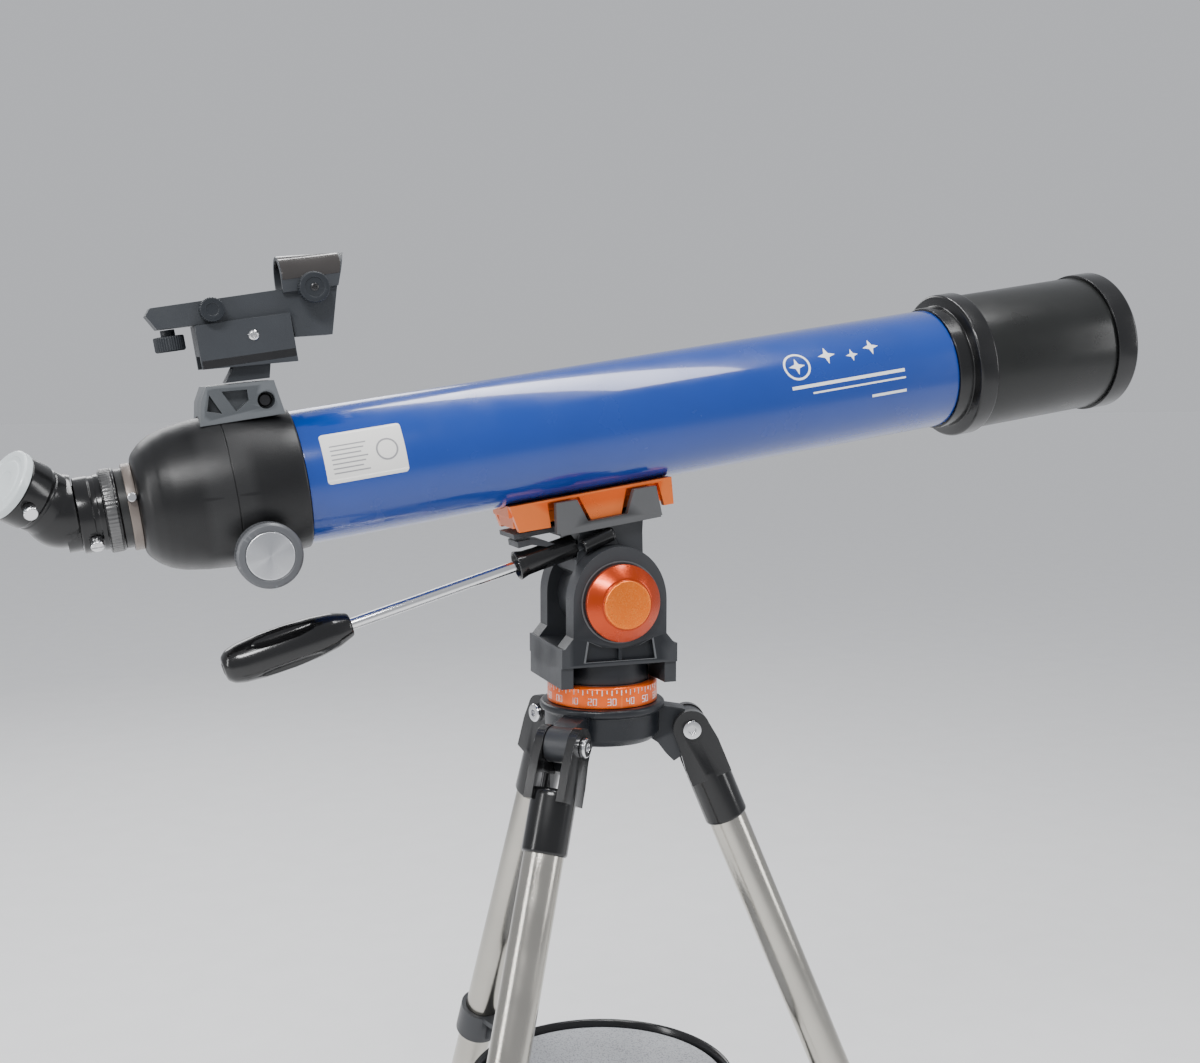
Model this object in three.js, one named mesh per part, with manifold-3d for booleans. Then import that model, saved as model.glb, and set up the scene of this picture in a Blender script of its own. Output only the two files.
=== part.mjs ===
// Refractor telescope on an alt-azimuth pan-handle head with a folding tube tripod.
// Millimetres, +Z up. The tube points along +X, raised by TUBE_ALTITUDE.
// The design frame has its zero where the altitude axis crosses the azimuth axis;
// the whole group is shifted at the end so the origin is under the middle of the
// bounding box, on the floor.
import * as THREE from 'three';
import { mergeVertices } from 'three/addons/utils/BufferGeometryUtils.js';
import Module from 'manifold-3d';

const wasm = await Module();
wasm.setup();

// ---------------------------------------------------------------- dimensions
const DEG = Math.PI / 180;
const TUBE_ALTITUDE = 8.6 * DEG;   // how far the tube is raised at rest
const AXIS_W = 121.6;              // altitude axis to optical axis
const TUBE_R = 45;                 // blue tube
const TUBE_WALL = 1.5;
const TUBE_REAR = -201;
const TUBE_FRONT = 289;
const CELL_R = 55;                 // objective cell ring
const SHIELD_R = 52;               // dew shield
const SHIELD_END = 428;
const CAP_R = 54;
const CAP_END = 447;
const DRAW_R = 26;                 // focuser drawtube
const DRAW_TRAVEL = 55;
const MODULE = 1;                  // rack and pinion
const PINION_TEETH = 12;
const PINION_R = MODULE * PINION_TEETH / 2;
const PINION_DROP = 40;            // pinion axis below the optical axis
const FOCUS_U = -235;
const FOCUS_KNOB_R = 21;
const DIAG_U = -346;               // where the eyepiece axis leaves the optical axis
const DIAG_ROLL = 34 * DEG;        // diagonal turned towards -Y
const EYE_CAP_R = 22.5;
const FORK_R = 39.2;               // rounded top of the fork arms
const FORK_GAP = 21.4;             // half the room between the arms
const FORK_OUT = 38;               // outer face of the arms
const KNOB_R = 27.5;               // altitude knob
const HANDLE_SLOPE = 16.5 * DEG;
const HANDLE_OFFSET = 43.9;        // handle axis above the altitude axis
const HANDLE_Y = -12;
const DIAL_R = 40;                 // azimuth dial
const DIAL_TOP = -60.6;
const DIAL_BOTTOM = -75.7;
const HUB_R = 45.5;
const LEG_PIVOT_R = 64;
const LEG_PIVOT_Z = -97;
const LEG_SPREAD = 22.5 * DEG;
const LEG_AZIMUTHS = [224.6, 344.6, 104.6]; // front left, right, rear
const LEG_TUBE_R = 14;
const LEG_INNER_R = 11.5;
const LEG_LENGTH = 779;            // pivot to floor along the leg
const UPPER_END = 520;
const TRAY_DEPTH = 268;            // tray top below the leg pivots
const TRAY_R = 101;
const FACET = 0.5;                 // share of the nominal segment counts that is kept

const PAINT = {
  blue: [0x1546a8, 0.18, 0.1], black: [0x17181a, 0.38, 0.1], satin: [0x1e1f21, 0.5, 0.1],
  grey: [0x4b4f53, 0.5, 0.2], orange: [0xf06a1c, 0.35, 0.3], chrome: [0xc9cacb, 0.15, 1],
  steel: [0xb7b6ae, 0.25, 1], glass: [0x9fb4c4, 0.05, 0], cap: [0xd3dbdc, 0.5, 0],
  rubber: [0x1b1b1b, 0.8, 0], mat: [0xb4b6b9, 0.9, 0], dark: [0x262a2e, 0.45, 0.2],
};

const root = new THREE.Group();

// ------------------------------------------------------------------- helpers
function clean(geometry) {
  let g = geometry.index ? geometry.clone() : geometry.clone();
  for (const n of ['normal', 'uv']) if (g.attributes[n]) g.deleteAttribute(n);
  g = mergeVertices(g, 1e-3);
  const idx = g.index.array, p = g.attributes.position;
  const keep = [];
  for (let i = 0; i < idx.length; i += 3) {
    const a = idx[i], b = idx[i + 1], c = idx[i + 2];
    if (a !== b && b !== c && a !== c) keep.push(a, b, c);
  }
  let volume = 0;
  const va = new THREE.Vector3(), vb = new THREE.Vector3(), vc = new THREE.Vector3();
  for (let i = 0; i < keep.length; i += 3) {
    va.fromBufferAttribute(p, keep[i]); vb.fromBufferAttribute(p, keep[i + 1]); vc.fromBufferAttribute(p, keep[i + 2]);
    volume += va.dot(vb.cross(vc)) / 6;
  }
  if (volume < 0) for (let i = 0; i < keep.length; i += 3) { const t = keep[i]; keep[i] = keep[i + 1]; keep[i + 1] = t; }
  g.setIndex(keep);
  return g;
}

function solid(geometry) {
  const g = clean(geometry);
  return new wasm.Manifold(new wasm.Mesh({
    numProp: 3,
    vertProperties: new Float32Array(g.attributes.position.array),
    triVerts: new Uint32Array(g.index.array),
  }));
}

function back(manifold) {
  const m = manifold.getMesh();
  const g = new THREE.BufferGeometry();
  const n = m.numProp;
  const pos = new Float32Array(m.vertProperties.length / n * 3);
  for (let i = 0; i < pos.length / 3; i++) for (let k = 0; k < 3; k++) pos[3 * i + k] = m.vertProperties[n * i + k];
  g.setAttribute('position', new THREE.BufferAttribute(pos, 3));
  g.setIndex(new THREE.BufferAttribute(new Uint32Array(m.triVerts), 1));
  return g;
}

const union = (...gs) => back(gs.map(solid).reduce((a, b) => a.add(b)));
const cut = (g, ...tools) => back(tools.map(solid).reduce((a, b) => a.subtract(b), solid(g)));
const common = (a, b) => back(solid(a).intersect(solid(b)));

const move = (g, x, y, z) => g.clone().applyMatrix4(new THREE.Matrix4().makeTranslation(x, y, z));

// orthonormal frame: local X, Y, Z laid along the three given directions
function place(g, ex, ey, ez, o = new THREE.Vector3()) {
  const m = new THREE.Matrix4().makeBasis(ex, ey, ez);
  m.setPosition(o);
  return g.clone().applyMatrix4(m);
}
const X = new THREE.Vector3(1, 0, 0), Y = new THREE.Vector3(0, 1, 0), Z = new THREE.Vector3(0, 0, 1);

// a body of revolution; profile is [radius, height] pairs; axis 'x', 'y', 'z' or a vector
function turn(profile, axis, at = [0, 0, 0], nominal = 40) {
  const segments = Math.max(10, 2 * Math.round(nominal * FACET / 2));
  const pts = profile.map(([r, h]) => new THREE.Vector2(r, h));
  const onAxis = profile[0][0] === 0 && profile[profile.length - 1][0] === 0;
  if (!onAxis) pts.push(pts[0].clone());
  const g = clean(new THREE.LatheGeometry(pts, segments));
  const dir = axis === 'x' ? X : axis === 'y' ? Y : axis === 'z' ? Z : axis;
  const q = new THREE.Quaternion().setFromUnitVectors(Y, dir.clone().normalize());
  const m = new THREE.Matrix4().compose(new THREE.Vector3(...at), q, new THREE.Vector3(1, 1, 1));
  return g.applyMatrix4(m);
}
const rod = (r, h0, h1, axis, at = [0, 0, 0], segments = 24) => turn([[0, h0], [r, h0], [r, h1], [0, h1]], axis, at, segments);
const ring = (ro, ri, h0, h1, axis, at = [0, 0, 0], segments = 40) => turn([[ri, h0], [ro, h0], [ro, h1], [ri, h1]], axis, at, segments);
const box = (x0, x1, y0, y1, z0, z1) => move(new THREE.BoxGeometry(x1 - x0, y1 - y0, z1 - z0), (x0 + x1) / 2, (y0 + y1) / 2, (z0 + z1) / 2);

// outline in the XZ plane, extruded from y0 to y1
function slabXZ(points, y0, y1, holes = []) {
  const s = new THREE.Shape(points.map(([x, z]) => new THREE.Vector2(x, z)));
  for (const h of holes) s.holes.push(new THREE.Path(h.map(([x, z]) => new THREE.Vector2(x, z))));
  const g = new THREE.ExtrudeGeometry(s, { depth: y1 - y0, bevelEnabled: false, curveSegments: 12 });
  return place(g, X, Z, Y.clone().negate(), new THREE.Vector3(0, y1, 0));
}
const arc = (cx, cz, r, a0, a1, n) => Array.from({ length: n + 1 }, (_, i) => {
  const a = (a0 + (a1 - a0) * i / n) * DEG;
  return [cx + r * Math.cos(a), cz + r * Math.sin(a)];
});

function add(parent, name, geometry, paint) {
  const g = clean(geometry);
  g.computeVertexNormals();
  const [color, roughness, metalness] = PAINT[paint];
  const mesh = new THREE.Mesh(g, new THREE.MeshStandardMaterial({ color, roughness, metalness, flatShading: true }));
  mesh.name = name;
  parent.add(mesh);
  return mesh;
}

// ================================================================ tube frame
// x along the optical axis, z square to it; zero on the altitude axis
const tube = new THREE.Group();
tube.rotation.y = -TUBE_ALTITUDE;
root.add(tube);
const O = [0, 0, AXIS_W];

add(tube, 'main_tube', ring(TUBE_R, TUBE_R - TUBE_WALL, TUBE_REAR, TUBE_FRONT, 'x', O, 48), 'blue');

add(tube, 'objective_cell', turn([
  [43.1, 275], [43.1, 289.3], [46.6, 289.3], [46.6, 301.4], [54, 302.4], [CELL_R, 303.6], [CELL_R, 316.6], [54, 317.9],
  [49.7, 317.9], [49.7, 333], [41.2, 333], [41.2, 293], [37, 293], [37, 275],
], 'x', O, 48), 'black');

add(tube, 'objective_lens', turn([
  [0, 290.2], [18, 291], [32, 292.6], [36.4, 293.4], [40.8, 293.4], [40.8, 303], [34, 305], [18, 307.2], [0, 308],
], 'x', O, 40), 'glass');

add(tube, 'dew_shield', ring(SHIELD_R, 50.1, 318.3, SHIELD_END, 'x', O, 48), 'satin');

add(tube, 'dust_cap', turn([
  [0, 443], [46.8, 443], [46.8, 414], [49.7, 414], [49.7, SHIELD_END + 0.3], [CAP_R, SHIELD_END + 0.3],
  [CAP_R, CAP_END - 2], [52.4, CAP_END], [0, CAP_END],
], 'x', O, 48), 'black');

// focuser housing: bulb with an inner cavity, a guide sleeve for the drawtube and shaft bosses
{
  const outer = turn([
    [0, -306], [30.5, -306], [34, -304.2], [39.4, -299], [43.8, -292], [46.6, -284], [49, -270], [50.3, -256], [50.5, -246],
    [49.6, -230], [48, -214], [46.9, -201.3], [43.1, -201.3], [43.1, -187], [0, -187],
  ], 'x', O, 48);
  const cavity = turn([
    [0, -300.6], [36.2, -300.6], [41, -292], [43.9, -284], [46.3, -270], [47.6, -256], [47.8, -246], [46.9, -230], [45, -214],
    [41.4, -203], [41.4, -180], [0, -180],
  ], 'x', O, 40);
  const boss = rod(8.5, -47, 47, 'y', [FOCUS_U, 0, AXIS_W - PINION_DROP], 20);
  const sleeve = ring(28.6, 26.35, -301, -258, 'x', O, 40);
  const slot = box(-300.6, -250, -5.8, 5.8, AXIS_W - 50, AXIS_W - 20);
  const bossRoom = rod(45.6, -262, -206, 'x', O, 40);
  const bore = rod(26.35, -320, -240, 'x', O, 40);
  const shaftBore = rod(3.4, -60, 60, 'y', [FOCUS_U, 0, AXIS_W - PINION_DROP], 16);
  const pinionRoom = rod(8.4, -9, 9, 'y', [FOCUS_U, 0, AXIS_W - PINION_DROP], 20);
  let shell = solid(outer).subtract(solid(cavity));
  shell = shell.add(solid(sleeve).subtract(solid(slot)));
  // the bosses only stand where they are outside the drawtube's room
  const rackRoom = box(-310, -150, -8.6, 8.6, AXIS_W - 48.6, AXIS_W - 20);
  shell = shell.add(solid(boss).subtract(solid(rod(31, -300, -180, 'x', O, 40))).subtract(solid(rackRoom)));
  shell = shell.subtract(solid(bore)).subtract(solid(shaftBore)).subtract(solid(pinionRoom));
  add(tube, 'focuser_housing', back(shell), 'black');
}

// end ring of the housing, which holds the drawtube's tension screw
add(tube, 'focuser_ring', turn([[26.35, -306.3], [26.35, -311.6], [27, -312.2], [28, -312.2], [28.4, -311.6], [28.4, -306.3]], 'x', O, 40), 'grey');

// drawtube with its rack underneath; teeth are pitched pi * MODULE
{
  const pitch = Math.PI * MODULE;
  const zPitch = AXIS_W - PINION_DROP + PINION_R;       // pitch line of the rack
  const x0 = -244, x1 = -176;
  const pts = [[x0, AXIS_W - DRAW_R + 1.5], [x0, zPitch + 1.25]];
  // a tooth gap is centred on the pinion axis at rest, where a pinion tooth points straight up
  const first = Math.ceil((x0 + 2.2 - (FOCUS_U + pitch / 2)) / pitch);
  for (let i = first; FOCUS_U + pitch / 2 + i * pitch < x1 - 2; i++) {
    const c = FOCUS_U + pitch / 2 + i * pitch;
    const half = pitch / 4 - 0.16, t = Math.tan(20 * DEG);
    pts.push([c - half - 1.25 * t, zPitch + 1.25], [c - half + 0.9 * t, zPitch - 0.9], [c + half - 0.9 * t, zPitch - 0.9], [c + half + 1.25 * t, zPitch + 1.25]);
  }
  pts.push([x1, zPitch + 1.25], [x1, AXIS_W - DRAW_R + 1.5]);
  const rack = cut(slabXZ(pts, -5.2, 5.2), rod(24.6, -260, -150, 'x', O, 40));
  const tubeBody = ring(DRAW_R, 23.6, -317, -150, 'x', O, 40);
  add(tube, 'drawtube', union(tubeBody, rack), 'dark');
}

add(tube, 'visual_back', turn([
  [20.3, -343], [24, -343], [24.75, -342.3], [24.75, -327.2], [27, -326.6], [27, -318.2], [26.4, -317.4], [23.2, -317.4], [23.2, -306],
  [21.6, -306], [21.6, -316], [20.3, -316],
], 'x', O, 40), 'grey');

// focus shaft: pinion in the middle, a knob on each end
const focusAt = [FOCUS_U, 0, AXIS_W - PINION_DROP];
{
  const N = PINION_TEETH, rp = PINION_R, rb = rp * Math.cos(20 * DEG), ra = rp + 0.85, rf = rp - 1.2;
  const inv = (r) => { const a = Math.acos(Math.min(1, rb / r)); return Math.tan(a) - a; };
  const halfAtPitch = Math.PI / (2 * N) - 0.16 / rp;
  const flank = (r) => halfAtPitch + inv(rp) - inv(Math.max(r, rb));
  const pts = [];
  for (let i = 0; i < N; i++) {
    const c = Math.PI / 2 + i * 2 * Math.PI / N;
    const rs = [rf, rb, rp, (rp + ra) / 2, ra];
    for (const r of rs) pts.push([r * Math.cos(c - flank(r)), r * Math.sin(c - flank(r))]);
    for (const r of rs.slice().reverse()) pts.push([r * Math.cos(c + flank(r)), r * Math.sin(c + flank(r))]);
  }
  const gear = move(slabXZ(pts, -4.6, 4.6), FOCUS_U, 0, AXIS_W - PINION_DROP);
  add(tube, 'focus_shaft', union(rod(3.1, -58, 58, 'y', focusAt, 16), gear), 'steel');
}
const focusKnob = (side) => turn([
  [3.4, 47.6], [15, 47.6], [FOCUS_KNOB_R - 1.2, 48.4], [FOCUS_KNOB_R, 49.6], [FOCUS_KNOB_R, 60.4], [FOCUS_KNOB_R - 1.6, 62],
  [17.2, 62.6], [0, 62.6], [0, 58.4], [3.4, 58.4],
].map(([r, h]) => [r, side * h]), 'y', focusAt, 36);
add(tube, 'focus_knob_near', focusKnob(-1), 'grey');
add(tube, 'focus_knob_far', focusKnob(1), 'grey');

// star diagonal: short barrel, rounded elbow, eyepiece socket
const eDir = new THREE.Vector3(-Math.cos(45 * DEG), -Math.sin(45 * DEG) * Math.sin(DIAG_ROLL), Math.sin(45 * DEG) * Math.cos(DIAG_ROLL));
const mAt = [DIAG_U, 0, AXIS_W];
const ePoint = (s) => [DIAG_U + eDir.x * s, eDir.y * s, AXIS_W + eDir.z * s];
// direction square to the eyepiece axis, on the side the socket screw sits
const eSide = new THREE.Vector3(0, -1, -0.35).addScaledVector(eDir, -new THREE.Vector3(0, -1, -0.35).dot(eDir)).normalize();
{
  const bulb = move(new THREE.SphereGeometry(23.6, 18, 12), ...ePoint(9));
  const flange = rod(22.4, -352, -343.4, 'x', O, 36);
  const barrel = rod(19.8, -345, -318.5, 'x', O, 32);
  const socket = turn([[0, 8], [20.6, 8], [20.6, 30], [21.6, 31], [21.6, 44.6], [20.8, 45.6], [0, 45.6]], eDir, mAt, 36);
  const lightIn = rod(14.5, -352, -310, 'x', O, 28);
  const lightOut = rod(16.5, 6, 60, eDir, mAt, 40);
  const cavity = move(new THREE.SphereGeometry(17.5, 12, 8), ...ePoint(9));
  const screwAt = ePoint(38);
  const screwHole = rod(2.3, 12, 30, eSide, screwAt, 12);
  const elbow = solid(cut(union(bulb, socket), box(-343.6, -280, -60, 60, AXIS_W - 60, AXIS_W + 60))).add(solid(flange)).add(solid(barrel));
  add(tube, 'diagonal_body', back(elbow.subtract(solid(lightIn)).subtract(solid(lightOut)).subtract(solid(cavity)).subtract(solid(screwHole))), 'black');
  add(tube, 'eyepiece_screw', turn([[0, 17.2], [2, 17.2], [2, 22.6], [4.6, 22.6], [4.6, 28.4], [3.8, 29.2], [0, 29.2]], eSide, screwAt, 16), 'chrome');
  add(tube, 'eyepiece_cap', turn([[0, 47.4], [13.6, 47.4], [13.6, 36], [15.9, 36], [15.9, 45.9], [EYE_CAP_R, 45.9], [EYE_CAP_R, 50.4], [21.6, 51.4], [0, 51.4]], eDir, mAt, 40), 'cap');
}

// thumb screws in the drawtube collar and the housing's end ring
const collarDir = new THREE.Vector3(0, -Math.cos(38 * DEG), -Math.sin(38 * DEG));
add(tube, 'collar_screw', turn([[0, 24.95], [4.4, 24.95], [4.4, 30.8], [3.6, 31.6], [0, 31.6]], collarDir, [-335, 0, AXIS_W], 16), 'chrome');

// dovetail bar under the tube, with side skirts cut back around the saddle jaws
const BAR_TOP = AXIS_W - 42.6, BAR_LOW = AXIS_W - 62;
{
  const side = [
    [-66, BAR_TOP], [-61.5, BAR_LOW + 0.5], [-38.4, BAR_LOW], [-38.4, AXIS_W - 44.6], [-15, AXIS_W - 44.6],
    [-8.6, BAR_LOW], [14.6, BAR_LOW], [20.8, AXIS_W - 45], [45.2, AXIS_W - 45], [47.6, BAR_LOW], [55, BAR_LOW], [56, BAR_TOP],
  ];
  const skirtN = slabXZ(side, -25, -19.6), skirtF = slabXZ(side, 19.6, 25);
  const web = box(-66, 56, -19.7, 19.7, AXIS_W - 51, BAR_TOP);
  const rail = move(place(new THREE.ExtrudeGeometry(new THREE.Shape([[-16, 0], [16, 0], [19.4, 8.6], [-19.4, 8.6]].map(([a, b]) => new THREE.Vector2(a, b))), { depth: 118, bevelEnabled: false }), Y, Z, X), -63, 0, AXIS_W - 59.4);
  add(tube, 'dovetail_bar', cut(union(skirtN, skirtF, web, rail), rod(TUBE_R + 0.35, -90, 90, 'x', O, 48)), 'orange');
}

// ---- finder: ribbed base, stem, body with dovetail block and window housing
{
  const W = (d) => AXIS_W + d;
  const side = [[-261, W(40)], [-205.5, W(40)], [-205.5, W(46)], [-209, W(67.4)], [-252, W(69.4)], [-257, W(60)]];
  const blockG = slabXZ(side, -24, 24);
  const pocket1 = [[-251, W(64)], [-245, W(51)], [-254, W(54)]];
  const pocket2 = [[-243, W(65)], [-227, W(64)], [-227, W(57)], [-236, W(51)]];
  const recess = (pts, y0, y1) => slabXZ(pts, y0, y1);
  const holeN = rod(5.6, 15.5, 30, 'y', [-216, 0, W(55.4)], 18);
  const holeNn = rod(5.6, -30, -15.5, 'y', [-216, 0, W(55.4)], 18);
  add(tube, 'finder_base', cut(blockG,
    recess(pocket1, -26, -17), recess(pocket2, -26, -17), recess(pocket1, 17, 26), recess(pocket2, 17, 26), holeN, holeNn,
    rod(50.9, -262, -200, 'x', O, 48)), 'grey');
  const stem = slabXZ([[-238, W(69.8)], [-209.5, W(68.9)], [-206, W(83.6)], [-228, W(83.6)]], -10, 10);
  const foot = move(place(new THREE.ExtrudeGeometry(new THREE.Shape([[-13.5, 0], [13.5, 0], [10.5, 6.4], [-10.5, 6.4]].map(([a, b]) => new THREE.Vector2(a, b))), { depth: 52, bevelEnabled: false }), Y, Z, X), -248, 0, W(82));
  add(tube, 'finder_stem', union(stem, foot), 'dark');
  // body: long box, clamp block astride the stem's rail, window housing in front
  const bar = slabXZ([[-280, W(119)], [-276.6, W(123.4)], [-197, W(124.4)], [-156, W(122.5)], [-164.5, W(91)], [-189, W(92.8)], [-189.6, W(108)], [-274.5, W(109.4)]], -13, 13);
  const clamp = slabXZ([[-251.4, W(108.8)], [-190.2, W(108.8)], [-190.2, W(77)], [-251.4, W(80.4)]], -17, 17);
  const windowBox = slabXZ([[-192.4, W(122)], [-191.6, W(146)], [-148.6, W(143)], [-156, W(122)]], -17, 17);
  const windowHole = rod(14, -200, -140, 'x', [0, 0, W(129.6)], 28);
  const railSlot = move(place(new THREE.ExtrudeGeometry(new THREE.Shape([[-14, -0.4], [14, -0.4], [11, 7], [-11, 7]].map(([a, b]) => new THREE.Vector2(a, b))), { depth: 80, bevelEnabled: false }), Y, Z, X), -260, 0, W(81.9));
  const stemSlot = box(-262, -180, -10.4, 10.4, W(70), W(84.5));
  const wideSlot = box(-262, -180, -14.2, 14.2, W(70), W(81.6));
  add(tube, 'finder_body', cut(union(bar, clamp, windowBox), windowHole, railSlot, stemSlot, wideSlot), 'dark');
  add(tube, 'finder_knob_side', turn([[0, 17.4], [5.4, 17.4], [5.4, 20], [9.6, 20], [10.2, 20.8], [10.2, 28.6], [9.4, 29.4], [0, 29.4]].map(([r, h]) => [r, -h]), 'y', [-173.6, 0, W(122.6)], 24), 'dark');
  add(tube, 'finder_knob_small', turn([[0, 13.4], [4.4, 13.4], [4.4, 15.4], [7.4, 15.4], [8, 16], [8, 22.8], [7.3, 23.5], [0, 23.5]].map(([r, h]) => [r, -h]), 'y', [-239.4, 0, W(117.2)], 20), 'dark');
  add(tube, 'finder_knob_under', turn([[0, 108.6], [4.6, 108.6], [4.6, 104.6], [9.2, 104.6], [9.8, 103.8], [9.8, 95.6], [8.8, 94.6], [0, 94.6]], 'z', [-267.6, 0, AXIS_W], 20), 'dark');
}

// ==================================================== saddle and tilt casting
// in the tube frame too: this assembly tilts with the tube
{
  // near jaws and the bar that joins them
  const jawShape = [
    [-36.6, AXIS_W - 66.8], [-34, AXIS_W - 45.4], [-18.4, AXIS_W - 45.6], [-12.6, AXIS_W - 62], [17, AXIS_W - 62],
    [24.6, AXIS_W - 45.8], [41.4, AXIS_W - 46.2], [43, AXIS_W - 67.6], [17, AXIS_W - 68.7], [-11.6, AXIS_W - 68.7],
  ];
  const plate = slabXZ(jawShape, -30.6, -25.3);
  const lip = box(-34, 42, -30.6, -20.6, AXIS_W - 68.7, AXIS_W - 63.4);
  add(tube, 'saddle_jaw', union(plate, lip), 'grey');
  // saddle table with the far jaws, tongue and hinge barrel, rear strap
  const table = box(-34, 44, -20.2, 30.6, AXIS_W - 68.7, AXIS_W - 62.6);
  const farJaw = slabXZ(jawShape, 25.3, 30.6);
  const tongue = slabXZ([
    [-15, AXIS_W - 63], [33, AXIS_W - 63], [30, AXIS_W - 78], [27, 20], ...arc(0, 0, 27, 45, -225, 20), [-24, 24],
  ], -20.6, 20.6);
  const barrel = rod(27, -20.8, 20.8, 'y', [0, 0, 0], 36);
  const axleHole = rod(6.4, -40, 40, 'y', [0, 0, 0], 20);
  const strapPts = [];
  const c = [[-62, 50.6], [-52, 51.2], [-42, 48], [-33, 43], [-24, 36.6], [-18, 30]];
  for (const [x, z] of c) strapPts.push([x, z + 2.2]);
  for (const [x, z] of c.slice().reverse()) strapPts.push([x, z - 2.2]);
  const strap = slabXZ([...strapPts], -18, 6);
  const strapRoot = box(-64, -30, -18, 18, AXIS_W - 66.6, AXIS_W - 63.2);
  const handleBore = rod(4.4, -20, 120, new THREE.Vector3(-Math.cos(HANDLE_SLOPE - TUBE_ALTITUDE), 0, -Math.sin(HANDLE_SLOPE - TUBE_ALTITUDE)),
    [-Math.sin(HANDLE_SLOPE - TUBE_ALTITUDE) * HANDLE_OFFSET, HANDLE_Y, Math.cos(HANDLE_SLOPE - TUBE_ALTITUDE) * HANDLE_OFFSET], 20);
  const hs = HANDLE_SLOPE - TUBE_ALTITUDE;
  const hDirT = new THREE.Vector3(-Math.cos(hs), 0, -Math.sin(hs));
  const hFootT = [-Math.sin(hs) * HANDLE_OFFSET, HANDLE_Y, Math.cos(hs) * HANDLE_OFFSET];
  const sleeveRoom = rod(9.2, 13.6, 90, hDirT, hFootT, 28);
  const body = solid(table).add(solid(farJaw)).add(solid(tongue)).add(solid(barrel)).add(solid(strap)).add(solid(strapRoot))
    .subtract(solid(sleeveRoom)).subtract(solid(handleBore)).subtract(solid(axleHole))
    .subtract(solid(rod(6.4, -60, 14, new THREE.Vector3(Math.cos(13.4 * DEG), 0, Math.sin(13.4 * DEG)), [-6, -26.4, 44.7], 20)));
  add(tube, 'tilt_casting', back(body), 'satin');
  // pan handle: sleeve with a flared mouth, chrome rod, grip with a long flute
  add(tube, 'handle_sleeve', turn([[4.5, 14], [8.6, 14], [8.6, 44], [9, 52], [10.6, 58], [9, 58.6], [5.6, 50], [4.5, 46]], hDirT, hFootT, 28), 'black');
  add(tube, 'handle_rod', turn([[0, -6], [4.1, -6], [4.1, 190], [0, 190]], hDirT, hFootT, 20), 'chrome');
  const grip = turn([[4.4, 180.6], [7.6, 180.6], [8.6, 182], [12.2, 192], [14.2, 206], [15, 224], [14.8, 244], [13.4, 258], [11.4, 265], [8, 268.6], [0, 269.6], [0, 191], [4.4, 191]], hDirT, hFootT, 28);
  const gUp = new THREE.Vector3().crossVectors(hDirT, Y).normalize();           // square to the handle, in the tilt plane
  const gSide = new THREE.Vector3(0, -1, 0);
  const flutes = [];
  for (const k of [0.5, -0.5, 1.5, 2.5]) {
    const d = gSide.clone().multiplyScalar(Math.cos(k * Math.PI / 2)).addScaledVector(gUp, Math.sin(k * Math.PI / 2));
    const o = new THREE.Vector3(...hFootT).addScaledVector(d, 19.6);
    flutes.push(turn([[0, 198], [3.6, 200], [6, 206], [7, 216], [7, 236], [6, 246], [3.6, 252], [0, 254]], hDirT, [o.x, o.y, o.z], 14));
  }
  add(tube, 'handle_grip', cut(grip, ...flutes), 'black');
}
// clamp bolt of the saddle, beside the tongue
const clampDir = new THREE.Vector3(Math.cos(13.4 * DEG), 0, Math.sin(13.4 * DEG));
add(tube, 'saddle_bolt', turn([[0, -12], [4.6, -12], [5.2, -11], [5.2, 10.4], [4, 12.4], [0, 13]], clampDir, [-6, -26.4, 44.7], 20), 'black');

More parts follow.
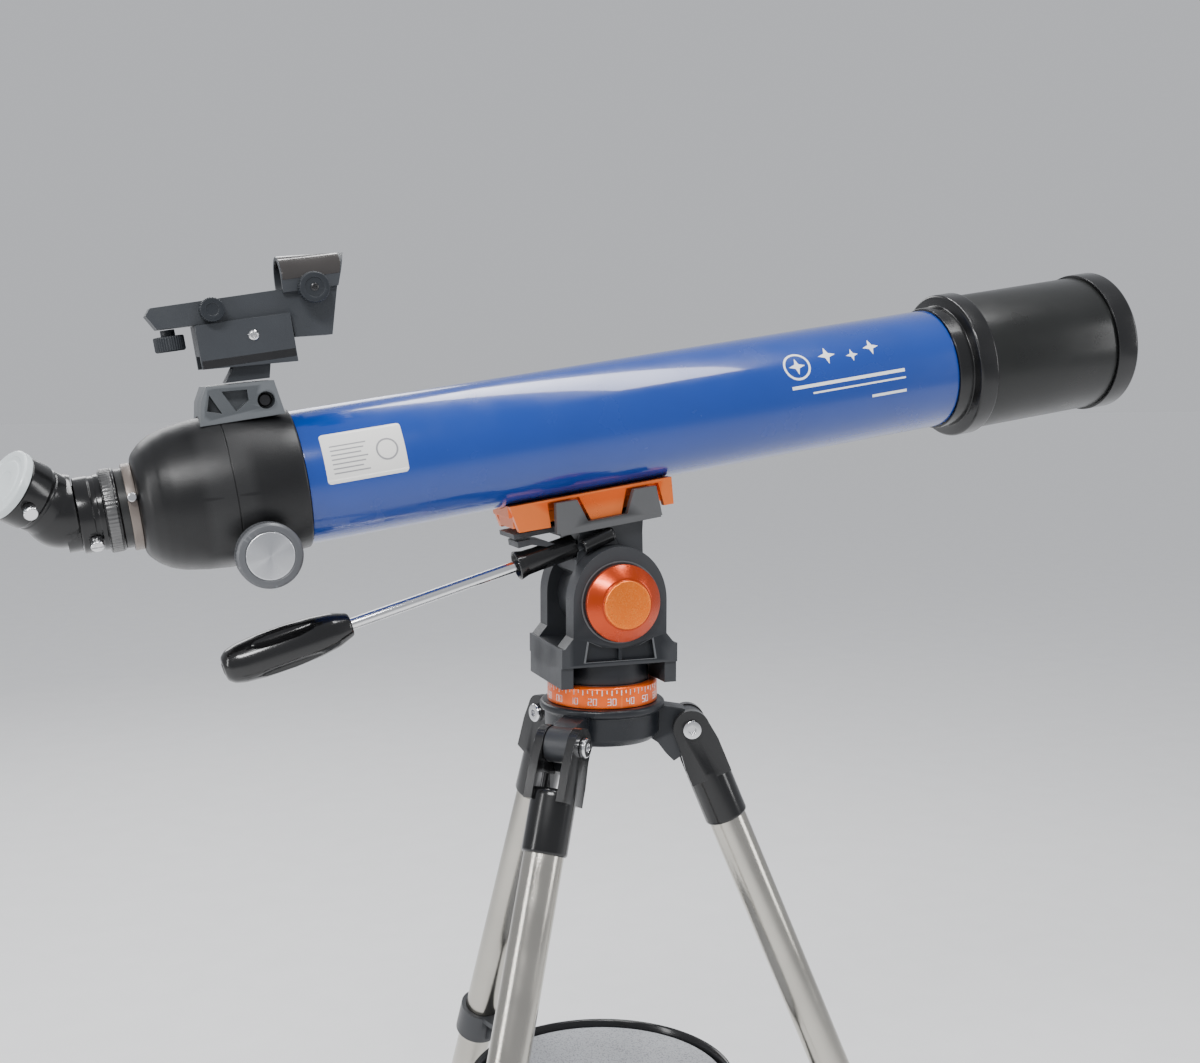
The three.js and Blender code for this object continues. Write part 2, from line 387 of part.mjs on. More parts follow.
// ======================================================================= fork
{
  const plate = (y0, y1) => slabXZ([
    ...arc(0, 0, FORK_R, 0, 180, 22).map(([x, z]) => [x * 35 / FORK_R * (Math.abs(z) < 1e-6 ? 1 : 1) + 0, z]),
    [-35, -24], [-43.4, -34], [-43.4, -45], [43.4, -45], [43.4, -34], [35, -24],
  ], y0, y1);
  const front = plate(-FORK_OUT, -FORK_GAP), rear = plate(FORK_GAP, FORK_OUT);
  const base = box(-43.4, 43.4, -FORK_OUT, FORK_OUT, -45, -31.5);
  const drum = rod(33.5, -60, -44.6, 'z', [0, 0, 0], 44);
  const wingShape = (s) => box(Math.min(s * 34.5, s * 43.4), Math.max(s * 34.5, s * 43.4), -FORK_OUT + 2, FORK_OUT - 2, -60, -44.8);
  const spigot = rod(11.6, -98, -59.8, 'z', [0, 0, 0], 28);
  const axleHole = rod(6.4, -50, 50, 'y', [0, 0, 0], 20);
  const pocketPts = [[-24, -27], [-14, -31.4], [0, -33], [14, -31.4], [24, -27], [26.5, -41.4], [-26.5, -41.4]];
  const pocket = (y0, y1) => slabXZ(pocketPts, y0, y1);
  const knobSeat = rod(28.6, 0, 3.6, 'y', [0, -FORK_OUT - 0.01, 0], 40);
  const rib = box(-1.2, 1.2, -FORK_OUT + 0.6, -FORK_OUT + 5, -41.6, -28);
  let s = solid(front).add(solid(rear)).add(solid(base)).add(solid(drum)).add(solid(wingShape(1))).add(solid(wingShape(-1))).add(solid(spigot));
  s = s.subtract(solid(axleHole)).subtract(solid(pocket(-FORK_OUT - 1, -FORK_OUT + 4))).add(solid(rib))
    .subtract(solid(rod(28.4, -30, 30, 'y', [0, 0, 0], 40)).intersect(solid(box(-40, 40, -FORK_GAP, FORK_GAP, -40, 40))));
  add(root, 'fork', back(s), 'black');
  add(root, 'altitude_axle', turn([[0, -37], [6.1, -37], [6.1, 38.2], [11, 38.2], [11, 42], [9.4, 43], [0, 43]], 'y', [0, 0, 0], 20), 'steel');
  add(root, 'altitude_knob', turn([[0, 38.3], [24.6, 38.3], [KNOB_R, 41], [KNOB_R, 44.4], [18.6, 50.6], [17.2, 50.6], [17.2, 52.6], [16.2, 53.4], [0, 53.4]].map(([r, h]) => [r, -h]), 'y', [0, 0, 0], 44), 'orange');
}

// ================================================================ azimuth dial
add(root, 'azimuth_dial', turn([[34.2, DIAL_BOTTOM], [DIAL_R, DIAL_BOTTOM], [DIAL_R, -62], [38.8, DIAL_TOP], [34.2, DIAL_TOP]], 'z', [0, 0, 0], 48), 'orange');

// ======================================================================== hub
{
  let hub = solid(turn([
    [12, -105], [30, -105], [38, -103.4], [41.6, -99], [42, -83], [HUB_R, -81], [HUB_R, -77.4], [44, -76.1], [33.8, -76.1], [33.8, -60.4], [12, -60.4],
  ], 'z', [0, 0, 0], 48));
  for (const az of LEG_AZIMUTHS) {
    const h = new THREE.Vector3(Math.cos(az * DEG), Math.sin(az * DEG), 0);
    const t = new THREE.Vector3(-h.y, h.x, 0);
    // tongue in the radial plane: boss round the pivot and a curved web under it
    const pts = [[36, -79.5], [58, -83], ...arc(LEG_PIVOT_R, LEG_PIVOT_Z, 12.4, 100, -100, 12), [58, -118], [52, -122], [46, -116], [40, -108], [34, -104]];
    const s = new THREE.Shape(pts.map(([r, z]) => new THREE.Vector2(r, z)));
    const g = new THREE.ExtrudeGeometry(s, { depth: 17.6, bevelEnabled: false });
    const tongue = place(g, h, Z, t.clone().negate(), t.clone().multiplyScalar(8.8));
    const hole = rod(4.3, -20, 20, t, [h.x * LEG_PIVOT_R, h.y * LEG_PIVOT_R, LEG_PIVOT_Z], 16);
    hub = hub.add(solid(tongue)).subtract(solid(hole));
  }
  add(root, 'hub', back(hub), 'black');
}

// ======================================================================= legs
LEG_AZIMUTHS.forEach((az, i) => {
  const n = i + 1;
  const h = new THREE.Vector3(Math.cos(az * DEG), Math.sin(az * DEG), 0);
  const t = new THREE.Vector3(-h.y, h.x, 0);
  // local frame of a leg: x outwards square to the leg, y tangential, z down the leg
  const down = new THREE.Vector3(h.x * Math.sin(LEG_SPREAD), h.y * Math.sin(LEG_SPREAD), -Math.cos(LEG_SPREAD));
  const out = new THREE.Vector3().crossVectors(t, down).normalize();
  if (out.dot(h) < 0) out.negate();
  const pivot = new THREE.Vector3(h.x * LEG_PIVOT_R, h.y * LEG_PIVOT_R, LEG_PIVOT_Z);
  const yDir = new THREE.Vector3().crossVectors(down, out);
  const toLeg = (g) => place(g, out, yDir, down, pivot);

  // bracket: two ears astride the hub's tongue, socket below for the tube
  const ear = (y0, y1) => slabXZ([...arc(0, 0, 13.4, -180, 0, 14), [15.4, 14], [15.4, 40], [-15.4, 40], [-15.4, 26], [-13.4, 10]], y0, y1);
  let b = solid(union(ear(-15.6, -9.2), ear(9.2, 15.6), turn([[0, 31], [13, 31], [15.6, 33.4], [16, 36], [16, 74], [15, 75.4], [0, 75.4]], 'z', [0, 0, 0], 28)));
  b = b.subtract(solid(rod(LEG_TUBE_R + 0.3, 37, 90, 'z', [0, 0, 0], 28))).subtract(solid(rod(4.3, -30, 30, 'y', [0, 0, 0], 16)))
    .subtract(solid(rod(10.6, 20, 45, 'z', [0, 0, 0], 20)));
  add(root, `leg${n}_bracket`, toLeg(back(b)), 'black');
  // pivot bolt with socket head, fixed in the hub
  add(root, `leg${n}_bolt`, toLeg(turn([[0, -19.6], [6.2, -19.6], [7, -18.8], [7, -15.9], [4, -15.9], [4, 15.9], [6.6, 15.9], [6.6, 19.4], [0, 19.4]], 'y', [0, 0, 0], 18)), 'steel');
  // upper tube, clamp, knob, inner tube, foot
  add(root, `leg${n}_upper`, toLeg(ring(LEG_TUBE_R, 12.4, 37.4, UPPER_END, 'z', [0, 0, 0], 28)), 'steel');
  const clampBody = union(
    turn([[0, 488], [17, 488], [18, 489.6], [18, 540], [16.6, 542], [0, 542]], 'z', [0, 0, 0], 28),
    box(14, 27, -9, 9, 503, 527));
  add(root, `leg${n}_clamp`, toLeg(cut(clampBody, rod(LEG_TUBE_R + 0.3, 480, UPPER_END + 0.4, 'z', [0, 0, 0], 28), rod(LEG_INNER_R + 0.4, 500, 560, 'z', [0, 0, 0], 24))), 'black');
  add(root, `leg${n}_knob`, toLeg(union(
    turn([[0, 27.3], [8.4, 27.3], [8.4, 33], [5.4, 34.4], [5.4, 39], [0, 39]], 'x', [0, 0, 515], 18),
    box(33, 47, -15, 15, 512.6, 517.4))), 'black');
  add(root, `leg${n}_lower`, toLeg(ring(LEG_INNER_R, 10.3, 240, 756, 'z', [0, 0, 0], 24)), 'steel');
  // tray arm: a ring clamped round the upper tube and a gusseted shelf under the tray's edge
  {
    const shelfTop = LEG_PIVOT_Z - TRAY_DEPTH - 13.4;
    const radial = (pts, half) => {
      const s = new THREE.Shape(pts.map(([r, z]) => new THREE.Vector2(r, z)));
      return place(new THREE.ExtrudeGeometry(s, { depth: 2 * half, bevelEnabled: false }), h, Z, t.clone().negate(), t.clone().multiplyScalar(half));
    };
    const shelf = radial([[96, shelfTop], [178, shelfTop], [178, shelfTop - 4.4], [98, shelfTop - 4.4], [96, shelfTop - 3]], 8);
    const gusset = radial([[112, shelfTop - 4], [180, shelfTop - 4], [182, shelfTop - 22], [170, shelfTop - 22]], 2.4);
    const collar = toLeg(rod(18, 299, 325, 'z', [0, 0, 0], 26));
    add(root, `leg${n}_tray_arm`, back(solid(collar).add(solid(shelf)).add(solid(gusset)).subtract(solid(toLeg(rod(LEG_TUBE_R + 0.3, 280, 345, 'z', [0, 0, 0], 28))))), 'black');
  }
  // foot: boot whose sole lies level on the floor at the rest spread
  const foot = turn([[0, 759], [0, 790], [13.4, 790], [17, 776], [15.4, 757], [13.4, 744], [11.8, 744], [11.8, 756.4], [0, 756.4]].slice(1), 'z', [0, 0, 0], 24);
  const floorZ = LEG_PIVOT_Z - LEG_LENGTH * Math.cos(LEG_SPREAD);
  add(root, `leg${n}_foot`, cut(toLeg(foot), box(-900, 900, -900, 900, floorZ - 80, floorZ)), 'rubber');
});

// tray: dished rim with spokes' hub below and a mat on top
{
  const top = LEG_PIVOT_Z - TRAY_DEPTH;
  add(root, 'tray', turn([
    [0, top - 9], [96, top - 9], [97.4, top - 3], [98.4, top - 0.6], [100.2, top], [TRAY_R, top - 2], [TRAY_R, top - 11.4], [99.4, top - 13], [0, top - 13],
  ], 'z', [0, 0, 0], 56), 'black');
  add(root, 'tray_mat', turn([[0, top - 8.7], [94.4, top - 8.7], [94.4, top - 5.4], [93.2, top - 4.2], [0, top - 4.2]], 'z', [0, 0, 0], 56), 'mat');
}

// ============================================= origin: bounding box bottom centre
root.updateMatrixWorld(true);
const bounds = new THREE.Box3();
root.traverse((o) => {
  if (!o.isMesh) return;
  const p = o.geometry.attributes.position, v = new THREE.Vector3();
  for (let k = 0; k < p.count; k++) bounds.expandByPoint(v.fromBufferAttribute(p, k).applyMatrix4(o.matrixWorld));
});
const centre = bounds.getCenter(new THREE.Vector3());
root.position.set(-centre.x, -centre.y, -bounds.min.z);

export default root;
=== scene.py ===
import bpy
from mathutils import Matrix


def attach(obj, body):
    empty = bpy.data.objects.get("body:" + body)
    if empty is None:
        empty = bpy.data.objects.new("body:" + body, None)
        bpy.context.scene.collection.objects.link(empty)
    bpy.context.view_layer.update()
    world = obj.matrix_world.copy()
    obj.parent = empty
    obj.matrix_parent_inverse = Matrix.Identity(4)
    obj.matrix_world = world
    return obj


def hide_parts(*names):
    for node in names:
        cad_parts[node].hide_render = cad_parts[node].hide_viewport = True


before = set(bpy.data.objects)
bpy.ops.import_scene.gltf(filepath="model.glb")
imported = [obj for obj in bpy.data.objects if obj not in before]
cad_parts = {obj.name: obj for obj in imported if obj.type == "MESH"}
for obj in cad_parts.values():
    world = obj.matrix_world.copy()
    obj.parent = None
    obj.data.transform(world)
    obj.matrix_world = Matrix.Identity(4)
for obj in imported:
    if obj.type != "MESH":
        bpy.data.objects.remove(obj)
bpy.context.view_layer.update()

import bpy, math
import numpy as np
from mathutils import Vector, Matrix

rng = np.random.default_rng(7)
S = np.array([-8.820925440167827, -48.083343505859375, 816.7021484375])
AL = math.radians(8.6); CA, SA = math.cos(AL), math.sin(AL)
AX = 121.6
X, Y, Z = np.eye(3)
V = lambda *a: np.array(a, float)
unit = lambda v: np.asarray(v, float) / np.linalg.norm(v)
rad = math.radians


# ------------------------------------------------------------------ geometry
class G:
    def __init__(s, v, f): s.v = np.asarray(v, float); s.f = [tuple(q) for q in f]
    def map(s, fn): return G(fn(s.v), s.f)
    def __add__(s, o): n = len(s.v); return G(np.vstack([s.v, o.v]), s.f + [tuple(i + n for i in q) for q in o.f])


def basis(d):
    d = unit(d); a = X if abs(d[0]) < 0.9 else Y
    e1 = unit(a - d * a.dot(d)); return e1, np.cross(d, e1), d


def soften(pts, r, closed):
    """rounds the corners of a profile"""
    if r <= 0: return pts
    P = [np.array(p, float) for p in pts]; n = len(P); out = []
    for i in range(n):
        if not closed and i in (0, n - 1): out.append(tuple(P[i])); continue
        a, b, c = P[i - 1], P[i], P[(i + 1) % n]
        u, w = a - b, c - b; lu, lw = np.linalg.norm(u), np.linalg.norm(w)
        if lu < 1e-6 or lw < 1e-6: out.append(tuple(b)); continue
        u /= lu; w /= lw
        ang = math.acos(max(-1, min(1, float(u.dot(w)))))
        if ang > rad(172): out.append(tuple(b)); continue
        k = min(r, lu * 0.4, lw * 0.4)
        p0, p1 = b + u * k, b + w * k
        for t in (0, 0.33, 0.67, 1): out.append(tuple((1 - t) ** 2 * p0 + 2 * t * (1 - t) * b + t * t * p1))
    return out


def turn(profile, axis="z", at=(0, 0, 0), n=96, r=0.45, wob=None):
    d = {"x": X, "y": Y, "z": Z}[axis] if isinstance(axis, str) else unit(axis)
    e1, e2, e3 = basis(d); at = np.array(at, float)
    pole = profile[0][0] == 0 and profile[-1][0] == 0
    pts = soften(profile, r, not pole)
    v, f, rings = [], [], []
    th = np.linspace(0, 2 * math.pi, n, endpoint=False)
    for q, h in pts:
        if q < 1e-9: rings.append([len(v)]); v.append(at + d * h)
        else:
            rr = np.full(n, q) if wob is None else np.broadcast_to(wob(q, h, th), (n,))
            rings.append(list(range(len(v), len(v) + n)))
            for t, ri in zip(th, rr): v.append(at + e3 * h + (e1 * math.cos(t) + e2 * math.sin(t)) * ri)
    m = len(rings)
    for i in range(m - 1 if pole else m):
        a, b = rings[i], rings[(i + 1) % m]
        if len(a) == 1 and len(b) == 1: continue
        for k in range(n):
            k2 = (k + 1) % n
            if len(a) == 1: f.append((a[0], b[k2], b[k]))
            elif len(b) == 1: f.append((a[k], a[k2], b[0]))
            else: f.append((a[k], a[k2], b[k2], b[k]))
    return G(v, f)


def rod(q, h0, h1, axis="z", at=(0, 0, 0), n=72, r=0.0): return turn([(0, h0), (q, h0), (q, h1), (0, h1)], axis, at, n, r)
def ring(ro, ri, h0, h1, axis="z", at=(0, 0, 0), n=96, r=0.0): return turn([(ri, h0), (ro, h0), (ro, h1), (ri, h1)], axis, at, n, r)


def extrude(pts, ex, ey, ez, o, depth):
    o = np.array(o, float); n = len(pts)
    v = [o + ex * a + ey * b for a, b in pts] + [o + ex * a + ey * b + ez * depth for a, b in pts]
    return G(v, [tuple(range(n - 1, -1, -1)), tuple(range(n, 2 * n))] + [(i, (i + 1) % n, n + (i + 1) % n, n + i) for i in range(n)])


def slab(pts, y0, y1): return extrude(pts, X, Z, Y, (0, y0, 0), y1 - y0)
def box(x0, x1, y0, y1, z0, z1): return extrude([(x0, y0), (x1, y0), (x1, y1), (x0, y1)], X, Y, Z, (0, 0, z0), z1 - z0)
def ball(q, at, n=64): return turn([(q * math.sin(math.pi * i / 32) if 0 < i < 32 else 0, -q * math.cos(math.pi * i / 32)) for i in range(33)], "z", at, n, 0)
def arc(cx, cz, q, a0, a1, n): return [(cx + q * math.cos(rad(a0 + (a1 - a0) * i / n)), cz + q * math.sin(rad(a0 + (a1 - a0) * i / n))) for i in range(n + 1)]


def to_mesh(g, name):
    import bmesh
    me = bpy.data.meshes.new(name)
    me.from_pydata([tuple(p) for p in g.v], [], g.f)
    bm = bmesh.new(); bm.from_mesh(me)
    bmesh.ops.recalc_face_normals(bm, faces=bm.faces)
    bm.to_mesh(me); bm.free()
    return me


def combine(base, steps):
    """chain of boolean steps: ('+', g), ('-', g), ('&', g)"""
    ob = bpy.data.objects.new("work", to_mesh(base, "work")); bpy.context.scene.collection.objects.link(ob); extra = []
    for op, g in steps:
        t = bpy.data.objects.new("tool", to_mesh(g, "tool")); bpy.context.scene.collection.objects.link(t); extra.append(t)
        m = ob.modifiers.new("b", "BOOLEAN"); m.object = t; m.solver = "MANIFOLD"
        m.operation = {"+": "UNION", "-": "DIFFERENCE", "&": "INTERSECT"}[op]
    bpy.context.view_layer.update()
    me = bpy.data.meshes.new_from_object(ob.evaluated_get(bpy.context.evaluated_depsgraph_get()))
    out = G([v.co[:] for v in me.vertices], [tuple(p.vertices) for p in me.polygons])
    for o in extra + [ob]:
        d = o.data; bpy.data.objects.remove(o); bpy.data.meshes.remove(d)
    bpy.data.meshes.remove(me)
    return out


def tube_frame(v): return np.stack([v[:, 0] * CA - v[:, 2] * SA, v[:, 1], v[:, 0] * SA + v[:, 2] * CA], 1)


# ----------------------------------------------------------------- materials
def material(name, color, rough, metal=0.0, coat=0.0, coat_rough=0.05, rvar=0.08, cvar=0.1, bump=0.05, bscale=900,
             grain=None, speckle=None, spec=0.5, trans=0.0, ior=1.5, sheen=0.0, edge=0.0005, dust=0.04, wear=0.0, alpha_tint=None):
    m = bpy.data.materials.new(name); m.use_nodes = True; nt = m.node_tree; N, Lk = nt.nodes, nt.links
    N.clear(); out = N.new("ShaderNodeOutputMaterial"); b = N.new("ShaderNodeBsdfPrincipled"); Lk.new(b.outputs[0], out.inputs[0])
    tc = N.new("ShaderNodeTexCoord")
    def noise(scale, detail=3, stretch=None):
        n = N.new("ShaderNodeTexNoise"); n.inputs["Scale"].default_value = scale; n.inputs["Detail"].default_value = detail
        if stretch is not None:
            mp = N.new("ShaderNodeMapping"); mp.inputs["Scale"].default_value = stretch
            Lk.new(tc.outputs["Object"], mp.inputs[0]); Lk.new(mp.outputs[0], n.inputs["Vector"])
        else: Lk.new(tc.outputs["Object"], n.inputs["Vector"])
        return n
    def ramp(src, lo, hi, a=0.3, c=0.7):
        r = N.new("ShaderNodeMapRange"); r.inputs["From Min"].default_value = a; r.inputs["From Max"].default_value = c
        r.inputs["To Min"].default_value = lo; r.inputs["To Max"].default_value = hi; Lk.new(src, r.inputs["Value"]); return r.outputs[0]
    def mix(fac, c1, c2):
        x = N.new("ShaderNodeMix"); x.data_type = "RGBA"; Lk.new(fac, x.inputs[0])
        for s, c in ((x.inputs[6], c1), (x.inputs[7], c2)):
            if isinstance(c, bpy.types.NodeSocket): Lk.new(c, s)
            else: s.default_value = (*c, 1)
        return x.outputs[2]
    c = np.array(color)
    n1 = noise(14, 4)
    col = mix(ramp(n1.outputs[0], 0, 1), tuple(c * (1 - cvar)), tuple(np.minimum(1, c * (1 + cvar))))
    if speckle:
        amount, sc, scol = speckle
        col = mix(ramp(noise(sc, 2).outputs[0], 0, amount, 0.52, 0.62), col, scol)
    n2 = noise(5.5, 5)
    col = mix(ramp(n2.outputs[0], 0, dust, 0.45, 0.8), col, (0.42, 0.40, 0.37))
    if wear > 0:
        g = N.new("ShaderNodeNewGeometry")
        col = mix(ramp(g.outputs["Pointiness"], 0, wear, 0.515, 0.56), col, tuple(np.minimum(1, c * 2.2 + 0.10)))
    Lk.new(col, b.inputs["Base Color"])
    n3 = noise(38, 5)
    Lk.new(ramp(n3.outputs[0], max(0.02, rough - rvar), min(1, rough + rvar)), b.inputs["Roughness"])
    b.inputs["Metallic"].default_value = metal; b.inputs["Specular IOR Level"].default_value = spec; b.inputs["IOR"].default_value = ior
    b.inputs["Coat Weight"].default_value = coat; b.inputs["Coat Roughness"].default_value = coat_rough
    b.inputs["Transmission Weight"].default_value = trans; b.inputs["Sheen Weight"].default_value = sheen
    src = noise(bscale, 2, grain)
    bp = N.new("ShaderNodeBump"); bp.inputs["Strength"].default_value = bump; bp.inputs["Distance"].default_value = 0.0004
    Lk.new(src.outputs[0], bp.inputs["Height"])
    if edge:
        bv = N.new("ShaderNodeBevel"); bv.samples = 4; bv.inputs["Radius"].default_value = edge; Lk.new(bv.outputs[0], bp.inputs["Normal"])
    Lk.new(bp.outputs[0], b.inputs["Normal"])
    return m


M = {
 "blue_gloss": material("blue_gloss", (0.001, 0.036, 0.25), 0.24, coat=0.7, coat_rough=0.045, rvar=0.05, cvar=0.05, bump=0.04, bscale=420, dust=0.006, spec=0.35),
 "black_gloss_plastic": material("black_gloss_plastic", (0.0045, 0.0046, 0.005), 0.21, coat=0.2, coat_rough=0.10, rvar=0.06, bump=0.07, bscale=1400, wear=0.10, dust=0.004, spec=0.38),
 "housing_black": material("housing_black", (0.0055, 0.0056, 0.0062), 0.34, rvar=0.06, bump=0.22, bscale=1900, wear=0.10, dust=0.005, spec=0.38),
 "satin_black": material("satin_black", (0.0050, 0.0056, 0.0052), 0.31, coat=0.1, coat_rough=0.2, rvar=0.05, bump=0.09, bscale=1500, wear=0.12, dust=0.004, spec=0.36),
 "cast_dark": material("cast_dark", (0.0085, 0.0100, 0.0130), 0.35, metal=0.05, rvar=0.08, bump=0.28, bscale=1300, wear=0.22, dust=0.010, spec=0.40),
 "grey_anodised": material("grey_anodised", (0.13, 0.13, 0.13), 0.32, metal=0.85, rvar=0.07, bump=0.15, bscale=1100, grain=(1, 7, 1), wear=0.4, dust=0.03),
 "slate_plastic": material("slate_plastic", (0.0110, 0.0140, 0.0185), 0.42, rvar=0.08, bump=0.30, bscale=1700, wear=0.20, dust=0.012, spec=0.38),
 "slate_light": material("slate_light", (0.052, 0.058, 0.064), 0.44, rvar=0.08, bump=0.35, bscale=1300, wear=0.3, dust=0.05),
 "orange_anodised": material("orange_anodised", (0.84, 0.115, 0.002), 0.30, metal=0.62, coat=0.25, coat_rough=0.15, rvar=0.06, cvar=0.08, bump=0.16, bscale=1500, wear=0.3, dust=0.02),
 "orange_sparkle": material("orange_sparkle", (0.90, 0.17, 0.006), 0.30, metal=0.7, rvar=0.12, cvar=0.12, bump=0.45, bscale=2400, speckle=(0.4, 1500, (1.0, 0.42, 0.10)), dust=0.01),
 "chrome": material("chrome", (0.72, 0.72, 0.73), 0.10, metal=1.0, rvar=0.05, bump=0.05, bscale=700, grain=(1, 1, 9), dust=0.02),
 "leg_steel": material("leg_steel", (0.47, 0.45, 0.405), 0.17, metal=1.0, rvar=0.06, cvar=0.07, bump=0.14, bscale=520, grain=(6, 6, 0.3), dust=0.04),
 "lens_glass": material("lens_glass", (0.75, 0.87, 0.95), 0.03, trans=1.0, ior=1.52, rvar=0.01, cvar=0.02, bump=0.0, edge=0, dust=0.0),
 "cap_plastic": material("cap_plastic", (0.60, 0.65, 0.66), 0.34, coat=0.3, rvar=0.08, cvar=0.05, bump=0.12, bscale=900, dust=0.05),
 "rubber_foot": material("rubber_foot", (0.018, 0.018, 0.018), 0.68, rvar=0.1, bump=0.45, bscale=1400, dust=0.12, wear=0.1),
 "grip_rubber": material("grip_rubber", (0.004, 0.004, 0.0044), 0.18, coat=0.35, coat_rough=0.07, rvar=0.05, bump=0.08, bscale=1200, wear=0.06, dust=0.004, spec=0.4),
 "speckled_mat": material("speckled_mat", (0.34, 0.35, 0.37), 0.92, rvar=0.04, bump=0.8, bscale=1500, speckle=(0.8, 700, (0.14, 0.145, 0.155)), sheen=0.3, dust=0.05),
 "ring_brown": material("ring_brown", (0.20, 0.17, 0.15), 0.34, metal=0.6, rvar=0.06, bump=0.1, bscale=1100, grain=(1, 7, 1), dust=0.03),
 "knob_grey": material("knob_grey", (0.095, 0.098, 0.105), 0.42, metal=0.35, rvar=0.07, bump=0.2, bscale=1200, wear=0.25, dust=0.02),
 "jaw_grey": material("jaw_grey", (0.030, 0.031, 0.033), 0.40, metal=0.2, rvar=0.08, bump=0.3, bscale=1300, wear=0.4, dust=0.02),
 # painted shade: the bar's orange anodising made darker for the altitude knob's bevel ring, which looked darker under
 # the light
 "orange_painted_shade": material("orange_painted_shade", (0.50, 0.045, 0.002), 0.26, metal=0.7, coat=0.3, coat_rough=0.12, rvar=0.06, cvar=0.06, bump=0.12, bscale=1500, grain=(1, 9, 1), wear=0.25, dust=0.01),
 "hood_brown": material("hood_brown", (0.040, 0.036, 0.034), 0.16, metal=0.35, coat=0.5, coat_rough=0.06, rvar=0.05, bump=0.08, bscale=900, dust=0.01),
 "spun": material("spun", (0.66, 0.67, 0.69), 0.24, metal=1.0, rvar=0.05, bump=0.05, bscale=1100, edge=0, dust=0.01),
 "white_ink": material("white_ink", (0.82, 0.83, 0.84), 0.45, rvar=0.05, cvar=0.03, bump=0.05, edge=0, dust=0.03),
 "sticker": material("sticker", (0.74, 0.73, 0.70), 0.38, coat=0.3, rvar=0.06, cvar=0.04, bump=0.08, edge=0, dust=0.04),
 "grey_ink": material("grey_ink", (0.26, 0.26, 0.27), 0.5, rvar=0.05, bump=0.03, edge=0, dust=0.02),
 "dark_screw": material("dark_screw", (0.05, 0.05, 0.052), 0.28, metal=0.9, rvar=0.07, bump=0.1, dust=0.03),
 "bore_black": material("bore_black", (0.006, 0.006, 0.006), 0.85, rvar=0.05, bump=0.4, bscale=1600, dust=0.02),
 "felt_line": material("felt_line", (0.10, 0.105, 0.11), 0.45, metal=0.3, rvar=0.06, bump=0.1, dust=0.03),
 "amber_glass": material("amber_glass", (0.55, 0.42, 0.36), 0.05, trans=0.85, ior=1.5, rvar=0.02, bump=0.0, edge=0, dust=0.0),
}
# conic sheen of a spun disc
_nt = M["spun"].node_tree; _b = next(n for n in _nt.nodes if n.type == "BSDF_PRINCIPLED")
_tg = _nt.nodes.new("ShaderNodeTangent"); _tg.direction_type = "RADIAL"; _tg.axis = "Z"
_nt.links.new(_tg.outputs[0], _b.inputs["Tangent"]); _b.inputs["Anisotropic"].default_value = 0.88


def put(name, g, mat, body, slot, frm=None, node=None, sharp=32, extra_mats=(), local=None):
    """makes an object from millimetre geometry; frm 'T' is the tube frame"""
    v = tube_frame(g.v) if frm == "T" else g.v
    g = G((v + S) / 1000.0, g.f)
    me = to_mesh(g, name)
    if local is not None:
        mw = local; me.transform(mw.inverted())
    me.polygons.foreach_set("use_smooth", [True] * len(me.polygons)); me.set_sharp_from_angle(angle=rad(sharp))
    ob = bpy.data.objects.new(name, me); bpy.context.scene.collection.objects.link(ob)
    if local is not None: ob.matrix_world = local
    me.materials.append(M[mat])
    for e in extra_mats: me.materials.append(M[e])
    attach(ob, body)
    if node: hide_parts(*([node] if isinstance(node, str) else node))
    return ob


def part(node, g, mat, body, slot, frm=None, **k): return put("v_" + node, g, mat, body, slot, frm, node, **k)


O = (0, 0, AX)
W = lambda d: AX + d
OT = "optical_tube"

# ---------------------------------------------------------------------- tube
part("main_tube", ring(45, 43.5, -201, 289, "x", O, 160, 0.3), "blue_gloss", OT, "blue_gloss", "T")
part("objective_cell", turn([(43.1, 275), (43.1, 289.3), (46.6, 289.3), (46.6, 301.4), (54, 302.4), (55, 303.6), (55, 316.6), (54, 317.9), (49.7, 317.9), (49.7, 333), (41.2, 333), (41.2, 293), (37, 293), (37, 275)], "x", O, 160, 0.6), "black_gloss_plastic", OT, "black_gloss_plastic", "T")
part("objective_lens", turn([(0, 290.2), (18, 291), (32, 292.6), (36.4, 293.4), (40.8, 293.4), (40.8, 303), (34, 305), (18, 307.2), (0, 308)], "x", O, 96, 0.2), "lens_glass", OT, "lens_glass", "T")
part("dew_shield", ring(52, 50.1, 318.3, 428, "x", O, 160, 0.5), "satin_black", "shield", "satin_black", "T")
part("dust_cap", turn([(0, 443), (46.8, 443), (46.8, 414), (49.7, 414), (49.7, 428.3), (54, 428.3), (54, 445), (52.4, 447), (49, 447), (47.6, 446.2), (24, 446.2), (23, 447), (0, 447)], "x", O, 160, 0.7), "black_gloss_plastic", "front_cap", "black_gloss_plastic", "T")

# ------------------------------------------------------------------- focuser
hs_outer = turn([(0, -306), (30.5, -306), (34, -304.2), (39.4, -299), (43.8, -292), (46.6, -284), (49, -270), (50.3, -256), (50.5, -246), (49.6, -230), (48, -214), (46.9, -201.3), (43.1, -201.3), (43.1, -187), (0, -187)], "x", O, 160, 2.0)
hs_cav = turn([(0, -300.6), (36.2, -300.6), (41, -292), (43.9, -284), (46.3, -270), (47.6, -256), (47.8, -246), (46.9, -230), (45, -214), (41.4, -203), (41.4, -180), (0, -180)], "x", O, 96, 0)
FA = (-235, 0, AX - 40)
boss = combine(rod(8.5, -47, 47, "y", FA, 64), [("-", rod(31, -300, -180, "x", O)), ("-", box(-310, -150, -8.6, 8.6, AX - 48.6, AX - 20))])
sleeve = combine(ring(28.6, 26.35, -301, -258, "x", O), [("-", box(-300.6, -250, -5.8, 5.8, AX - 50, AX - 20))])
